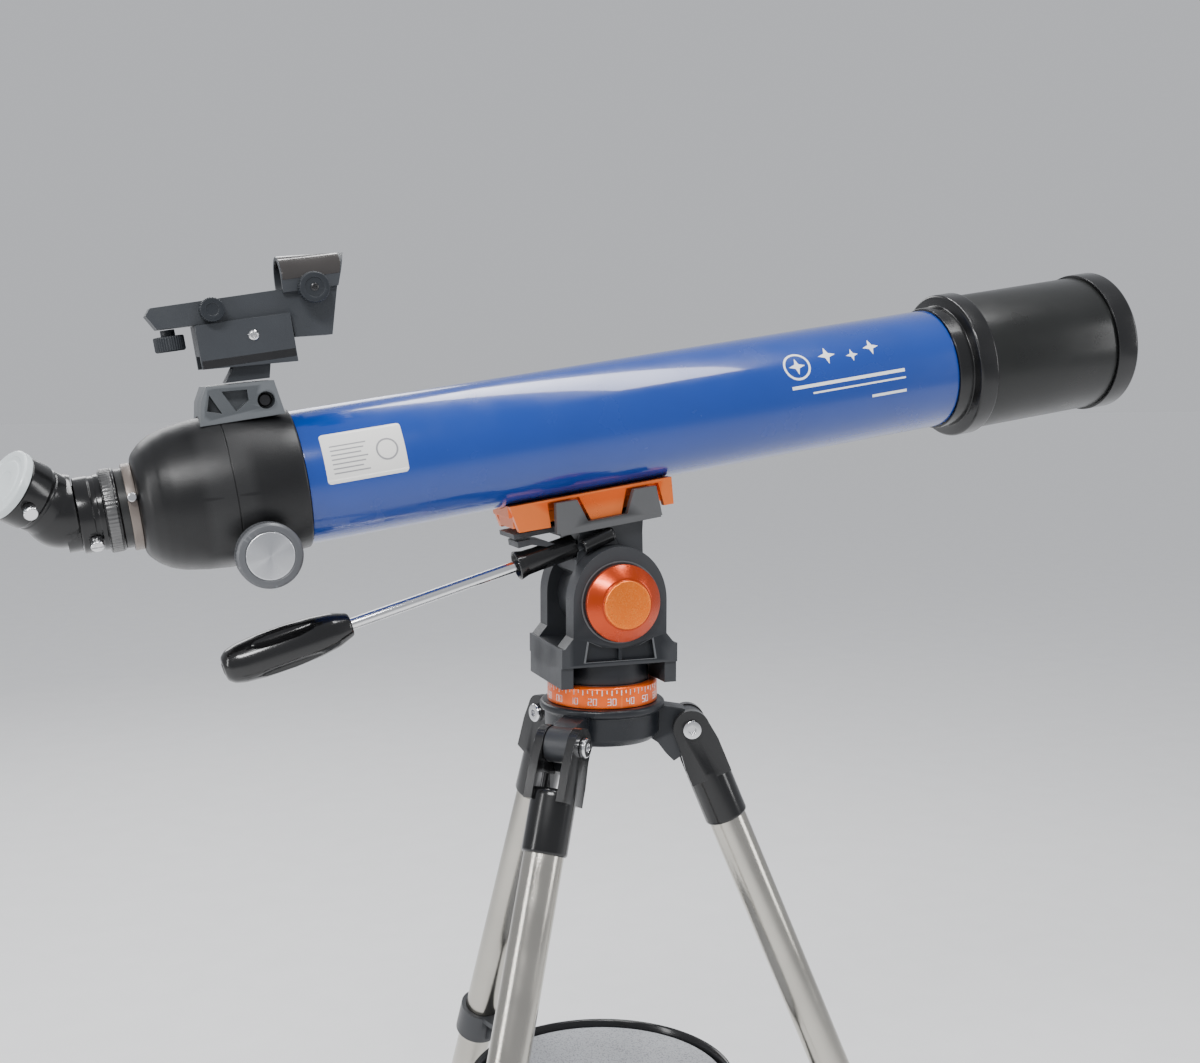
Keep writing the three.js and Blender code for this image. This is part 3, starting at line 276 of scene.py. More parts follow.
hs = combine(hs_outer, [("-", hs_cav), ("+", sleeve), ("+", boss), ("-", rod(26.35, -320, -240, "x", O)), ("-", rod(3.4, -60, 60, "y", FA)), ("-", rod(8.4, -9, 9, "y", FA)),
     ("-", ring(52, 49.95, -247.5, -246.8, "x", O, 160))])
part("focuser_housing", hs, "housing_black", OT, "black_gloss_plastic", "T")
part("focuser_ring", turn([(26.35, -306.3), (26.35, -311.6), (27, -312.2), (28, -312.2), (28.4, -311.6), (28.4, -306.3)], "x", O, 128, 0.3), "ring_brown", OT, "grey_anodised", "T")
rack = [(-244, AX - 24.5), (-244, AX - 40 + 6 + 1.25)]
first = math.ceil((-244 + 2.2 - (-235 + math.pi / 2)) / math.pi); i = first
while -235 + math.pi / 2 + i * math.pi < -178:
    c = -235 + math.pi / 2 + i * math.pi; hf = math.pi / 4 - 0.16; t = math.tan(rad(20)); zp = AX - 34
    rack += [(c - hf - 1.25 * t, zp + 1.25), (c - hf + 0.9 * t, zp - 0.9), (c + hf - 0.9 * t, zp - 0.9), (c + hf + 1.25 * t, zp + 1.25)]; i += 1
rack += [(-176, AX - 32.75), (-176, AX - 24.5)]
part("drawtube", combine(ring(26, 23.6, -317, -150, "x", O, 128), [("+", combine(slab(rack, -5.2, 5.2), [("-", rod(24.6, -260, -150, "x", O))]))]), "satin_black", "draw", "satin_black", "T")
knurl = lambda q, h, th: np.full(len(th), q) - (0.35 * (0.5 + 0.5 * np.cos(th * 64)) if q > 26.4 and -326.2 < h < -318.6 else 0)
part("visual_back", turn([(20.3, -343), (24, -343), (24.75, -342.3), (24.75, -334), (24.2, -333.4), (24.2, -330.6), (24.75, -330), (24.75, -327.2), (27, -326.6), (27, -326), (27, -319), (27, -318.2), (26.4, -317.4), (23.2, -317.4), (23.2, -306), (21.6, -306), (21.6, -316), (20.3, -316)], "x", O, 384, 0.25, knurl), "black_gloss_plastic", "draw", "grey_anodised", "T")
put("knurled_band", turn([(27.02, -326), (27.25, -325.6), (27.25, -319.6), (27.02, -319.2)], "x", O, 384, 0.1, lambda q, h, th: q - 0.22 * (0.5 + 0.5 * np.cos(th * 64))), "grey_anodised", "draw", "grey_anodised", "T")
cdir = V(0, -math.cos(rad(38)), -math.sin(rad(38)))


def screw(profile, axis, at, n=48, r=0.25, slots=0):
    g = turn(profile, axis, at, n, r)
    return g


part("collar_screw", combine(turn([(0, 24.95), (4.4, 24.95), (4.4, 30.8), (3.6, 31.6), (0, 31.6)], cdir, (-335, 0, AX), 64, 0.3, lambda q, h, th: q - (0.3 * (0.5 + 0.5 * np.cos(th * 20)) if q > 4 else 0)), [("-", extrude([(-4.6, -0.45), (4.6, -0.45), (4.6, 0.45), (-4.6, 0.45)], X, unit(np.cross(cdir, X)), cdir, V(-335, 0, AX) + cdir * 30.9, 2))]), "chrome", "collar_thumbscrew", "chrome", "T")
tdir = unit(V(0, -0.9, 0.25)); put("tension_screw", turn([(0, 28.0), (3.0, 28.0), (3.0, 33.2), (2.6, 33.8), (0, 33.8)], tdir, (-309.3, 0, AX), 48, 0.3), "chrome", OT, "chrome", "T")
# pinion shaft
NT, rp = 12, 6.0; rb = rp * math.cos(rad(20)); ra, rf = rp + .85, rp - 1.2
inv = lambda q: math.tan(math.acos(min(1, rb / q))) - math.acos(min(1, rb / q))
flank = lambda q: math.pi / (2 * NT) - .16 / rp + inv(rp) - inv(max(q, rb)); gp = []
for i in range(NT):
    c = math.pi / 2 + i * 2 * math.pi / NT; rs = [rf, rb, rp, (rp + ra) / 2, ra]
    gp += [(FA[0] + q * math.cos(c - flank(q)), FA[2] + q * math.sin(c - flank(q))) for q in rs]
    gp += [(FA[0] + q * math.cos(c + flank(q)), FA[2] + q * math.sin(c + flank(q))) for q in rs[::-1]]
part("focus_shaft", combine(rod(3.1, -58, 58, "y", FA), [("+", slab(gp, -4.6, 4.6))]), "chrome", "focus_spindle", "chrome", "T")
for nm, sd in (("near", -1), ("far", 1)):
    kk = lambda q, h, th: q - (0.45 * (np.cos(th * 60) > 0.2) if q > 20.5 and 50 < abs(h) < 60 else 0)
    # a cup with a closed face, turned from one profile with a bore for the shaft
    g = turn([(3.4, sd * 47.6), (15, sd * 47.6), (19.8, sd * 48.4), (21, sd * 49.6), (21, sd * 50.6), (21, sd * 59.6), (21, sd * 60.4), (19.4, sd * 62), (16.2, sd * 62.5), (15.5, sd * 61.8), (3.4, sd * 61.8)], "y", FA, 360, 0.25, kk)
    part("focus_knob_" + nm, g, "knob_grey", "focus_spindle", "grey_anodised", "T")
    ctr = Vector((tube_frame(V(FA[0], sd * 61, FA[2])[None])[0] + S) / 1000)
    loc = Matrix.Translation(ctr) @ Vector((0, 0, 1)).rotation_difference(Vector((0, sd, 0))).to_matrix().to_4x4()
    put("spun_disc_" + nm, turn([(0, sd * 61.6), (15.3, sd * 61.6), (15.3, sd * 62.3), (14.9, sd * 62.55), (0, sd * 62.55)], "y", FA, 160, 0.15), "spun", "focus_spindle", "chrome", "T", local=loc)

# ------------------------------------------------------------------ diagonal
ro = rad(34); q5 = math.sqrt(.5); eD = V(-q5, -q5 * math.sin(ro), q5 * math.cos(ro)); mA = V(-346, 0, AX)
ep = lambda s: mA + eD * s
eS = V(0, -1, -.35); eS = unit(eS - eD * eS.dot(eD))
soc = turn([(0, 8), (20.6, 8), (20.6, 27), (20.1, 27.6), (20.1, 29), (20.8, 30), (21.6, 31), (21.6, 44.6), (20.8, 45.6), (0, 45.6)], eD, mA, 128, 0.4)
elb = combine(ball(23.6, ep(9), 96), [("+", soc), ("-", box(-343.6, -280, -60, 60, AX - 60, AX + 60)), ("+", rod(22.4, -352, -343.4, "x", O, 128)), ("+", rod(19.8, -345, -318.5, "x", O, 128)),
    ("-", rod(14.5, -352, -310, "x", O)), ("-", rod(16.5, 6, 60, eD, mA, 96)), ("-", ball(17.5, ep(9), 48)), ("-", rod(2.3, 12, 30, eS, ep(38), 24))])
part("diagonal_body", elb, "black_gloss_plastic", "diagonal", "black_gloss_plastic", "T")
mn = unit(V(1, 0, 0) + eD); mt = basis(mn)
put("mirror", rod(13.0, 0, 1.2, mn, ep(9) - mn * 15.2, 64), "chrome", "diagonal", "chrome", "T")
part("eyepiece_screw", turn([(0, 17.2), (2, 17.2), (2, 22.6), (4.6, 22.6), (4.6, 28.4), (3.8, 29.2), (0, 29.2)], eS, ep(38), 120, 0.25, lambda q, h, th: q - (0.3 * (0.5 + 0.5 * np.cos(th * 20)) if q > 4 else 0)), "chrome", "socket_thumbscrew", "chrome", "T")
part("eyepiece_cap", turn([(0, 47.4), (13.6, 47.4), (13.6, 36), (15.9, 36), (15.9, 45.9), (22.5, 45.9), (22.5, 50.4), (21.6, 51.4), (18.5, 51.4), (18, 50.9), (15.4, 50.9), (14.9, 51.4), (8, 51.4), (7.6, 51.0), (0, 51.0)], eD, mA, 128, 0.3), "cap_plastic", "socket_cap", "cap_plastic", "T")

# -------------------------------------------------------------- dovetail bar
BT, BL = AX - 42.6, AX - 62
sd_ = [(-66, BT), (-61.5, BL + .5), (-38.4, BL), (-38.4, AX - 44.6), (-15, AX - 44.6), (-8.6, BL), (14.6, BL), (20.8, AX - 45), (45.2, AX - 45), (47.6, BL), (55, BL), (56, BT)]
rail = extrude([(-16, 0), (16, 0), (19.4, 8.6), (-19.4, 8.6)], Y, Z, X, (-63, 0, AX - 59.4), 118)
part("dovetail_bar", combine(slab(sd_, -25, -19.6), [("+", slab(sd_, 19.6, 25)), ("+", box(-66, 56, -19.7, 19.7, AX - 51, BT)), ("+", rail), ("-", rod(45.35, -90, 90, "x", O, 128))]), "orange_anodised", OT, "orange_anodised", "T")

# -------------------------------------------------------------------- finder
p1 = [(-251, W(64)), (-245, W(51)), (-254, W(54))]; p2 = [(-243, W(65)), (-227, W(64)), (-227, W(57)), (-236, W(51))]
fb = slab([(-261, W(40)), (-205.5, W(40)), (-205.5, W(46)), (-209, W(67.4)), (-252, W(69.4)), (-257, W(60))], -24, 24)
st = []
for pp in (p1, p2): st += [("-", slab(pp, -26, -17)), ("-", slab(pp, 17, 26))]
st += [("-", rod(5.6, 15.5, 30, "y", (-216, 0, W(55.4)))), ("-", rod(5.6, -30, -15.5, "y", (-216, 0, W(55.4)))), ("-", rod(50.9, -262, -200, "x", O, 160))]
part("finder_base", combine(fb, st), "slate_light", OT, "slate_plastic", "T")
for s in (-1, 1):
    put(f"base_screw_{s+1}", turn([(0, s * 15.6), (4.4, s * 15.6), (4.4, s * 17.6), (3.6, s * 18.4), (0, s * 18.4)], "y", (-216, 0, W(55.4)), 48, 0.3), "dark_screw", OT, "chrome", "T")
part("finder_stem", combine(slab([(-238, W(69.8)), (-209.5, W(68.9)), (-206, W(83.6)), (-228, W(83.6))], -10, 10), [("+", extrude([(-13.5, 0), (13.5, 0), (10.5, 6.4), (-10.5, 6.4)], Y, Z, X, (-248, 0, W(82)), 52))]), "slate_plastic", OT, "slate_plastic", "T")
bar = slab([(-280, W(119)), (-276.6, W(123.4)), (-197, W(124.4)), (-156, W(122.5)), (-164.5, W(91)), (-189, W(92.8)), (-189.6, W(108)), (-274.5, W(109.4))], -13, 13)
clampG = slab([(-251.4, W(108.8)), (-190.2, W(108.8)), (-190.2, W(77)), (-251.4, W(80.4))], -17, 17)
win = combine(slab([(-192.4, W(122)), (-191.6, W(146)), (-148.6, W(143)), (-156, W(122))], -17, 17), [("&", combine(rod(17.05, -210, -130, "x", (0, 0, W(128.9)), 128), [("+", box(-210, -130, -17.05, 17.05, W(118), W(128.9)))]))])
railS = extrude([(-14, -.4), (14, -.4), (11, 7), (-11, 7)], Y, Z, X, (-260, 0, W(81.9)), 80)
part("finder_body", combine(bar, [("+", clampG), ("+", win), ("-", rod(14, -200, -140, "x", (0, 0, W(129.6)), 96)), ("-", railS), ("-", box(-262, -180, -10.4, 10.4, W(70), W(84.5))), ("-", box(-262, -180, -14.2, 14.2, W(70), W(81.6)))]), "slate_plastic", OT, "slate_plastic", "T")
hood = combine(ring(17.0, 14.3, -191.4, -152, "x", (0, 0, W(128.9)), 128), [("&", slab([(-191.3, W(130)), (-191.0, W(145.8)), (-150.0, W(142.9)), (-154, W(130))], -17.2, 17.2))])
put("finder_hood_gloss", G(hood.v + (hood.v - V(0, 0, W(128.9))) * V(0, .012, .012), hood.f), "hood_brown", OT, "slate_plastic", "T")
put("finder_rail_strip", box(-250.8, -190.8, -17.12, -16.9, W(80.6), W(85.6)), "dark_screw", OT, "slate_plastic", "T")
put("finder_glass", rod(13.6, -165.2, -164, "x", (0, 0, W(129.6)), 64), "amber_glass", OT, "lens_glass", "T")
def phillips(at, axis, q, h, body, nm, mat="chrome"):
    e1, e2, e3 = basis(axis); at = np.array(at, float)
    a = [(-q * .62, -q * .13), (q * .62, -q * .13), (q * .62, q * .13), (-q * .62, q * .13)]
    g = combine(turn([(0, 0), (q, 0), (q, h * .5), (q * .7, h), (0, h * 1.15)], axis, at, 48, 0.1), [("-", extrude(a, e1, e2, e3, at + e3 * h * .45, 3)), ("-", extrude(a, e2, -e1, e3, at + e3 * h * .45, 3))])
    put(nm, g, mat, body, "chrome", "T")
phillips((-215.8, -17.0, W(97.7)), (0, -1, 0), 3.4, 1.4, OT, "clamp_screw_n")
phillips((-215.8, 17.0, W(97.7)), (0, 1, 0), 3.4, 1.4, OT, "clamp_screw_f")
fl = lambda k, dp, q0: (lambda q, h, th: q - (dp * (0.5 + 0.5 * np.cos(th * k)) if q > q0 else 0))
part("finder_knob_side", turn([(q, -h) for q, h in [(0, 17.4), (5.4, 17.4), (5.4, 20), (9.6, 20), (10.2, 20.8), (10.2, 28.6), (9.4, 29.4), (6.4, 29.4), (6.2, 28.6), (0, 28.6)]], "y", (-173.6, 0, W(122.6)), 216, 0.25, fl(36, .45, 9.9)), "slate_plastic", "finder_adjuster_side", "slate_plastic", "T")
phillips((-173.6, -28.6, W(122.6)), (0, -1, 0), 2.6, .7, "finder_adjuster_side", "side_knob_screw", "dark_screw")
part("finder_knob_small", turn([(q, -h) for q, h in [(0, 13.4), (4.4, 13.4), (4.4, 15.4), (7.4, 15.4), (8, 16), (8, 22.8), (7.3, 23.5), (4, 23.5), (3.8, 22.9), (0, 22.9)]], "y", (-239.4, 0, W(117.2)), 180, 0.25, fl(30, .4, 7.8)), "slate_plastic", "finder_switch", "slate_plastic", "T")
part("finder_knob_under", turn([(0, 108.6), (4.6, 108.6), (4.6, 104.6), (9.2, 104.6), (9.8, 103.8), (9.8, 95.6), (8.8, 94.6), (0, 94.6)], "z", (-267.6, 0, AX), 216, 0.25, fl(36, .45, 9.5)), "slate_plastic", "finder_adjuster_under", "slate_plastic", "T")

# ---------------------------------------------------------- saddle and handle
TH = "tilt_head"
jaw = [(-36.6, AX - 66.8), (-34, AX - 45.4), (-18.4, AX - 45.6), (-12.6, AX - 62), (17, AX - 62), (24.6, AX - 45.8), (41.4, AX - 46.2), (43, AX - 67.6), (17, AX - 68.7), (-11.6, AX - 68.7)]
part("saddle_jaw", combine(slab(jaw, -30.6, -25.3), [("+", box(-34, 42, -30.6, -20.6, AX - 68.7, AX - 63.4))]), "jaw_grey", TH, "cast_dark", "T")
tong = [(-15, AX - 63), (33, AX - 63), (30, AX - 78), (27, 20)] + arc(0, 0, 27, 45, -225, 48) + [(-24, 24)]
cs = [(-62, 50.6), (-52, 51.2), (-42, 48), (-33, 43), (-24, 36.6), (-18, 30)]
strap = slab([(a, b + 2.2) for a, b in cs] + [(a, b - 2.2) for a, b in cs[::-1]], -18, 6)
hsl = rad(16.5) - AL; hD = V(-math.cos(hsl), 0, -math.sin(hsl)); hF = V(-math.sin(hsl) * 43.9, -12, math.cos(hsl) * 43.9)
cD = V(math.cos(rad(13.4)), 0, math.sin(rad(13.4)))
part("tilt_casting", combine(box(-34, 44, -20.2, 30.6, AX - 68.7, AX - 62.6), [("+", slab(jaw, 25.3, 30.6)), ("+", slab(tong, -20.6, 20.6)), ("+", rod(27, -20.8, 20.8, "y", (0, 0, 0), 96)), ("+", strap), ("+", box(-64, -30, -18, 18, AX - 66.6, AX - 63.2)),
    ("-", rod(9.2, 13.6, 90, hD, hF)), ("-", rod(4.4, -20, 120, hD, hF)), ("-", rod(6.4, -40, 40, "y", (0, 0, 0))), ("-", rod(6.4, -60, 14, cD, (-6, -26.4, 44.7)))]), "cast_dark", TH, "cast_dark", "T")
part("handle_sleeve", turn([(4.5, 14), (8.6, 14), (8.6, 44), (9, 52), (10.6, 58), (9, 58.6), (5.6, 50), (4.5, 46)], hD, hF, 96, 0.5), "black_gloss_plastic", TH, "black_gloss_plastic", "T")
part("handle_rod", turn([(0, -6), (4.1, -6), (4.1, 190), (0, 190)], hD, hF, 64, 0.4), "chrome", "pan_handle", "chrome", "T")
grip = turn([(4.4, 180.6), (7.6, 180.6), (8.6, 182), (12.2, 192), (14.2, 206), (15, 224), (14.8, 244), (13.4, 258), (11.4, 265), (8, 268.6), (0, 269.6), (0, 191), (4.4, 191)][:10] + [(4.4, 269.2), (4.4, 191)], hD, hF, 128, 2.0)
gU = unit(np.cross(hD, Y)); gSd = V(0, -1, 0); fls = []
for k in (.5, -.5, 1.5, 2.5):
    d = gSd * math.cos(k * math.pi / 2) + gU * math.sin(k * math.pi / 2)
    fls.append(("-", turn([(0, 198), (3.6, 200), (6, 206), (7, 216), (7, 236), (6, 246), (3.6, 252), (0, 254)], hD, hF + d * 19.6, 48, 1.5)))
part("handle_grip", combine(grip, fls), "grip_rubber", "pan_handle", "grip_rubber", "T")
put("grip_end", turn([(0, 262), (4.3, 262), (4.3, 269.0), (3.4, 269.5), (0, 269.7)], hD, hF, 64, 0.4), "grip_rubber", "pan_handle", "grip_rubber", "T")
part("saddle_bolt", turn([(0, -12), (4.6, -12), (5.2, -11), (5.2, 10.4), (4, 12.4), (0, 13)], cD, (-6, -26.4, 44.7), 96, 0.4), "black_gloss_plastic", "clamp_bolt", "black_gloss_plastic", "T")

# ---------------------------------------------------------------------- fork
def plate(y0, y1): return slab([(x * 35 / 39.2, z) for x, z in arc(0, 0, 39.2, 0, 180, 64)] + [(-35, -24), (-43.4, -34), (-43.4, -45), (43.4, -45), (43.4, -34), (35, -24)], y0, y1)
pk = [(-24, -27), (-14, -31.4), (0, -33), (14, -31.4), (24, -27), (26.5, -41.4), (-26.5, -41.4)]
inner = combine(rod(28.4, -30, 30, "y", (0, 0, 0), 96), [("&", box(-40, 40, -21.4, 21.4, -40, 40))])
fs = [("+", plate(21.4, 38)), ("+", box(-43.4, 43.4, -38, 38, -45, -31.5)), ("+", rod(33.5, -60, -44.6, "z", (0, 0, 0), 128)), ("+", box(-43.4, -34.5, -36, 36, -60, -44.8)), ("+", box(34.5, 43.4, -36, 36, -60, -44.8)), ("+", rod(11.6, -98, -59.8)),
      ("-", rod(6.4, -50, 50, "y")), ("-", slab(pk, -39, -34)), ("-", slab(pk, 34, 39)), ("+", box(-1.2, 1.2, -37.4, -33, -41.6, -28)), ("+", box(-1.2, 1.2, 33, 37.4, -41.6, -28)), ("-", inner)]
part("fork", combine(plate(-38, -21.4), fs), "cast_dark", "fork_head", "cast_dark")
# outlines round the recessed panels and the knob's seat
def rim(pts, y, w, s):
    c = np.mean(pts, 0); o = [tuple(c + (np.array(p) - c) * 1.0) for p in pts]; i_ = [tuple(c + (np.array(p) - c) * (1 - w)) for p in pts]
    n = len(pts); v = [(a, y, b) for a, b in o] + [(a, y + s * .25, b) for a, b in o] + [(a, y, b) for a, b in i_] + [(a, y + s * .25, b) for a, b in i_]
    f = []
    for k in range(n):
        j = (k + 1) % n; f += [(n + k, n + j, 3 * n + j, 3 * n + k), (k, j, n + j, n + k), (2 * n + k, 3 * n + k, 3 * n + j, 2 * n + j)]
    return G(v, f)
for s in (-1, 1):
    put(f"panel_rim_{s+1}", rim([(a * 1.04, (b + 35) * 1.08 - 35) for a, b in pk], s * 38.0, .055, s), "felt_line", "fork_head", "cast_dark")
put("seat_ring", turn([(28.0, -38.0), (29.2, -38.0), (29.2, -38.4), (28.0, -38.4)], "y", (0, 0, 0), 128, 0.1), "felt_line", "fork_head", "cast_dark")
part("altitude_axle", turn([(0, -37), (6.1, -37), (6.1, 38.2), (11, 38.2), (11, 42), (9.4, 43), (0, 43)], "y", (0, 0, 0), 96, 0.4), "chrome", "fork_head", "chrome")
# the knob's body takes the darker orange, painted shade of its bevel ring
part("altitude_knob", turn([(q, -h) for q, h in [(0, 38.3), (24.6, 38.3), (27.5, 41), (27.5, 44.4), (18.6, 50.6), (17.4, 50.6), (17.2, 50.9), (0, 50.9)]], "y", (0, 0, 0), 160, 0.5), "orange_painted_shade", "tension_knob", "orange_anodised")
put("knob_disc", turn([(0, -50.6), (17.2, -50.6), (17.2, -52.6), (16.2, -53.4), (0, -53.4)], "y", (0, 0, 0), 160, 0.5), "orange_sparkle", "tension_knob", "orange_anodised")

# ---------------------------------------------------------------------- dial
part("azimuth_dial", turn([(34.2, -75.7), (40, -75.7), (40, -62), (38.8, -60.6), (34.2, -60.6)], "z", (0, 0, 0), 256, 0.3), "orange_anodised", "dial", "orange_anodised")
SEG = {"0": "abcdef", "1": "bc", "2": "abged", "3": "abgcd", "4": "fgbc", "5": "afgcd", "6": "afgedc", "7": "abc", "8": "abcdefg", "9": "abcdfg"}
BARS = {"a": (0, 1, 1, 1), "b": (1, .5, 1, 1), "c": (1, 0, 1, .5), "d": (0, 0, 1, 0), "e": (0, 0, 0, .5), "f": (0, .5, 0, 1), "g": (0, .5, 1, .5)}
ink = None
def on_dial(a0, a1, z0, z1, q=40.0):
    n = max(2, int((a1 - a0) / 1.2) + 1); v, f = [], []
    for k in range(n + 1):
        a = rad(a0 + (a1 - a0) * k / n)
        for rr in (q - .02, q + .10):
            for zz in (z0, z1): v.append((rr * math.cos(a), rr * math.sin(a), zz))
    for k in range(n):
        b = 4 * k; c = b + 4
        f += [(b + 2, c + 2, c + 3, b + 3), (b, b + 2, b + 3, b + 1), (b + 1, b + 3, c + 3, c + 1), (b, c, c + 2, b + 2)]
    f += [(0, 1, 3, 2), (4 * n, 4 * n + 2, 4 * n + 3, 4 * n + 1)]
    return G(v, f)
for k in range(72):
    a = k * 5; tall = 3.6 if k % 2 == 0 else 2.2
    g = on_dial(a - .45, a + .45, -62.6 - tall, -62.4); ink = g if ink is None else ink + g
for k in range(18):
    a = k * 20
    txt = f"{k * 10 % 100:02d}"
    w, hgt, th_ = 2.3, 4.4, .55
    for j, ch in enumerate(txt):
        # figures run with the angle, so they read from outside
        base = a + (j - 1) * 5.2 + .9
        for sg in SEG[ch]:
            x0, y0, x1, y1 = BARS[sg]
            A0, A1 = base + x0 * w / 40 * 57.3 - (.36 if x0 == x1 else 0), base + x1 * w / 40 * 57.3 + (.36 if x0 == x1 else 0)
            Z0, Z1 = -72.9 + y0 * hgt - (th_ / 2 if y0 == y1 else 0), -72.9 + y1 * hgt + (th_ / 2 if y0 == y1 else 0)
            ink = ink + on_dial(A0, A1, Z0, Z1)
put("dial_ink", ink, "white_ink", "dial", "orange_anodised")

# ----------------------------------------------------------------------- hub
hubG = turn([(12, -105), (30, -105), (38, -103.4), (41.6, -99), (42, -83), (45.5, -81), (45.5, -77.4), (44, -76.1), (33.8, -76.1), (33.8, -60.4), (12, -60.4)], "z", (0, 0, 0), 160, 0.8)
AZ = [224.6, 344.6, 104.6]; hst = []; legs = []
for az in AZ:
    h = V(math.cos(rad(az)), math.sin(rad(az)), 0); t = V(-h[1], h[0], 0)
    pts = [(36, -79.5), (58, -83)] + arc(64, -97, 12.4, 100, -100, 40) + [(58, -118), (52, -122), (46, -116), (40, -108), (34, -104)]
    hst += [("+", extrude(pts, h, Z, -t, t * 8.8, 17.6)), ("-", rod(4.3, -20, 20, t, h * 64 + V(0, 0, -97), 48))]
part("hub", combine(hubG, hst), "cast_dark", "tripod_hub", "cast_dark")

# ---------------------------------------------------------------------- legs
B = rad(22.5)
for n, az in enumerate(AZ, 1):
    h = V(math.cos(rad(az)), math.sin(rad(az)), 0); t = V(-h[1], h[0], 0)
    down = V(h[0] * math.sin(B), h[1] * math.sin(B), -math.cos(B)); out = unit(np.cross(t, down)); out = out if out.dot(h) > 0 else -out
    yd = np.cross(down, out); piv = h * 64 + V(0, 0, -97); R3 = np.stack([out, yd, down], 1)
    L = lambda g, R3=R3, piv=piv: G(g.v @ R3.T + piv, g.f)
    bd, sl, lk = f"leg{n}", f"leg{n}_extension", f"leg{n}_lock"
    ear = lambda a, b: slab(arc(0, 0, 13.4, -180, 0, 40) + [(15.4, 14), (15.4, 40), (-15.4, 40), (-15.4, 26), (-13.4, 10)], a, b)
    br = combine(ear(-15.6, -9.2), [("+", ear(9.2, 15.6)), ("+", turn([(0, 31), (13, 31), (15.6, 33.4), (16, 36), (16, 74), (15, 75.4), (0, 75.4)], "z", (0, 0, 0), 96, 0.8)), ("-", rod(14.3, 37, 90)), ("-", rod(4.3, -30, 30, "y")), ("-", rod(10.6, 20, 45))])
    part(f"leg{n}_bracket", L(br), "black_gloss_plastic", bd, "cast_dark")
    blt = combine(turn([(0, -19.6), (6.2, -19.6), (7, -18.8), (7, -15.9), (4, -15.9), (4, 15.9), (6.6, 15.9), (6.6, 19.4), (0, 19.4)], "y", (0, 0, 0), 64, 0.35),
        [("-", extrude([(3.1 * math.cos(k * math.pi / 3), 3.1 * math.sin(k * math.pi / 3)) for k in range(6)], X, Z, Y, (0, -21, 0), 4.2)), ("-", extrude([(3.1 * math.cos(k * math.pi / 3), 3.1 * math.sin(k * math.pi / 3)) for k in range(6)], X, Z, Y, (0, 16.9, 0), 4.2))])
    part(f"leg{n}_bolt", L(blt), "chrome", "tripod_hub", "chrome")
    part(f"leg{n}_upper", L(ring(14, 12.4, 37.4, 520, "z", (0, 0, 0), 96, 0.3)), "leg_steel", bd, "leg_steel")
    ridge = lambda q, h, th: q - (0.5 * (0.5 + 0.5 * np.cos(th * 40)) if q > 17.5 and 494 < h < 534 else 0)
    cb = combine(turn([(0, 488), (17, 488), (18, 489.6), (18, 494), (18, 535), (18, 540), (16.6, 542), (0, 542)], "z", (0, 0, 0), 240, 0.5, ridge), [("+", box(14, 27, -9, 9, 503, 527)), ("-", rod(14.3, 480, 520.4, "z", (0, 0, 0), 96)), ("-", rod(11.9, 500, 560, "z", (0, 0, 0), 96))])
    part(f"leg{n}_clamp", L(cb), "black_gloss_plastic", bd, "black_gloss_plastic")
    wing = extrude([(33, -13), (36, -15), (44, -15), (47, -12.5), (47, 12.5), (44, 15), (36, 15), (33, 13)], X, Y, Z, (0, 0, 512.6), 4.8)
    part(f"leg{n}_knob", L(combine(turn([(0, 27.3), (8.4, 27.3), (8.4, 33), (5.4, 34.4), (5.4, 39), (0, 39)], "x", (0, 0, 515), 72, 0.5), [("+", wing)])), "black_gloss_plastic", lk, "black_gloss_plastic")
    part(f"leg{n}_lower", L(ring(11.5, 10.3, 240, 756, "z", (0, 0, 0), 96, 0.3)), "leg_steel", sl, "leg_steel")
    sT = -97 - 268 - 13.4
    rd = lambda pts, hf: extrude(pts, h, Z, -t, t * hf, 2 * hf)
    arm = combine(L(rod(18, 299, 325, "z", (0, 0, 0), 96)), [("+", rd([(96, sT), (178, sT), (178, sT - 4.4), (98, sT - 4.4), (96, sT - 3)], 8)), ("+", rd([(112, sT - 4), (180, sT - 4), (182, sT - 22), (170, sT - 22)], 2.4)), ("-", L(rod(14.3, 280, 345, "z", (0, 0, 0), 96)))])
    part(f"leg{n}_tray_arm", arm, "cast_dark", bd, "cast_dark")
    ft = turn([(0, 790), (13.4, 790), (17, 776), (15.4, 757), (13.4, 744), (11.8, 744), (11.8, 756.4), (0, 756.4)], "z", (0, 0, 0), 240, 1.2, lambda q, h, th: q - (0.45 * (0.5 + 0.5 * np.cos(th * 24)) if q > 14.2 and 756 < h < 786 else 0))
    fz = -97 - 779 * math.cos(B)
    part(f"leg{n}_foot", combine(L(ft), [("-", box(-900, 900, -900, 900, fz - 80, fz))]), "rubber_foot", sl, "rubber_foot")

# ---------------------------------------------------------------------- tray
tp = -97 - 268
part("tray", turn([(0, tp - 9), (96, tp - 9), (97.4, tp - 3), (98.4, tp - .6), (100.2, tp), (101, tp - 2), (101, tp - 11.4), (99.4, tp - 13), (0, tp - 13)], "z", (0, 0, 0), 192, 0.5), "black_gloss_plastic", "tray_unit", "black_gloss_plastic")
part("tray_mat", turn([(0, tp - 8.7), (94.4, tp - 8.7), (94.4, tp - 5.4), (93.2, tp - 4.2), (0, tp - 4.2)], "z", (0, 0, 0), 192, 0.6), "speckled_mat", "tray_unit", "speckled_mat")


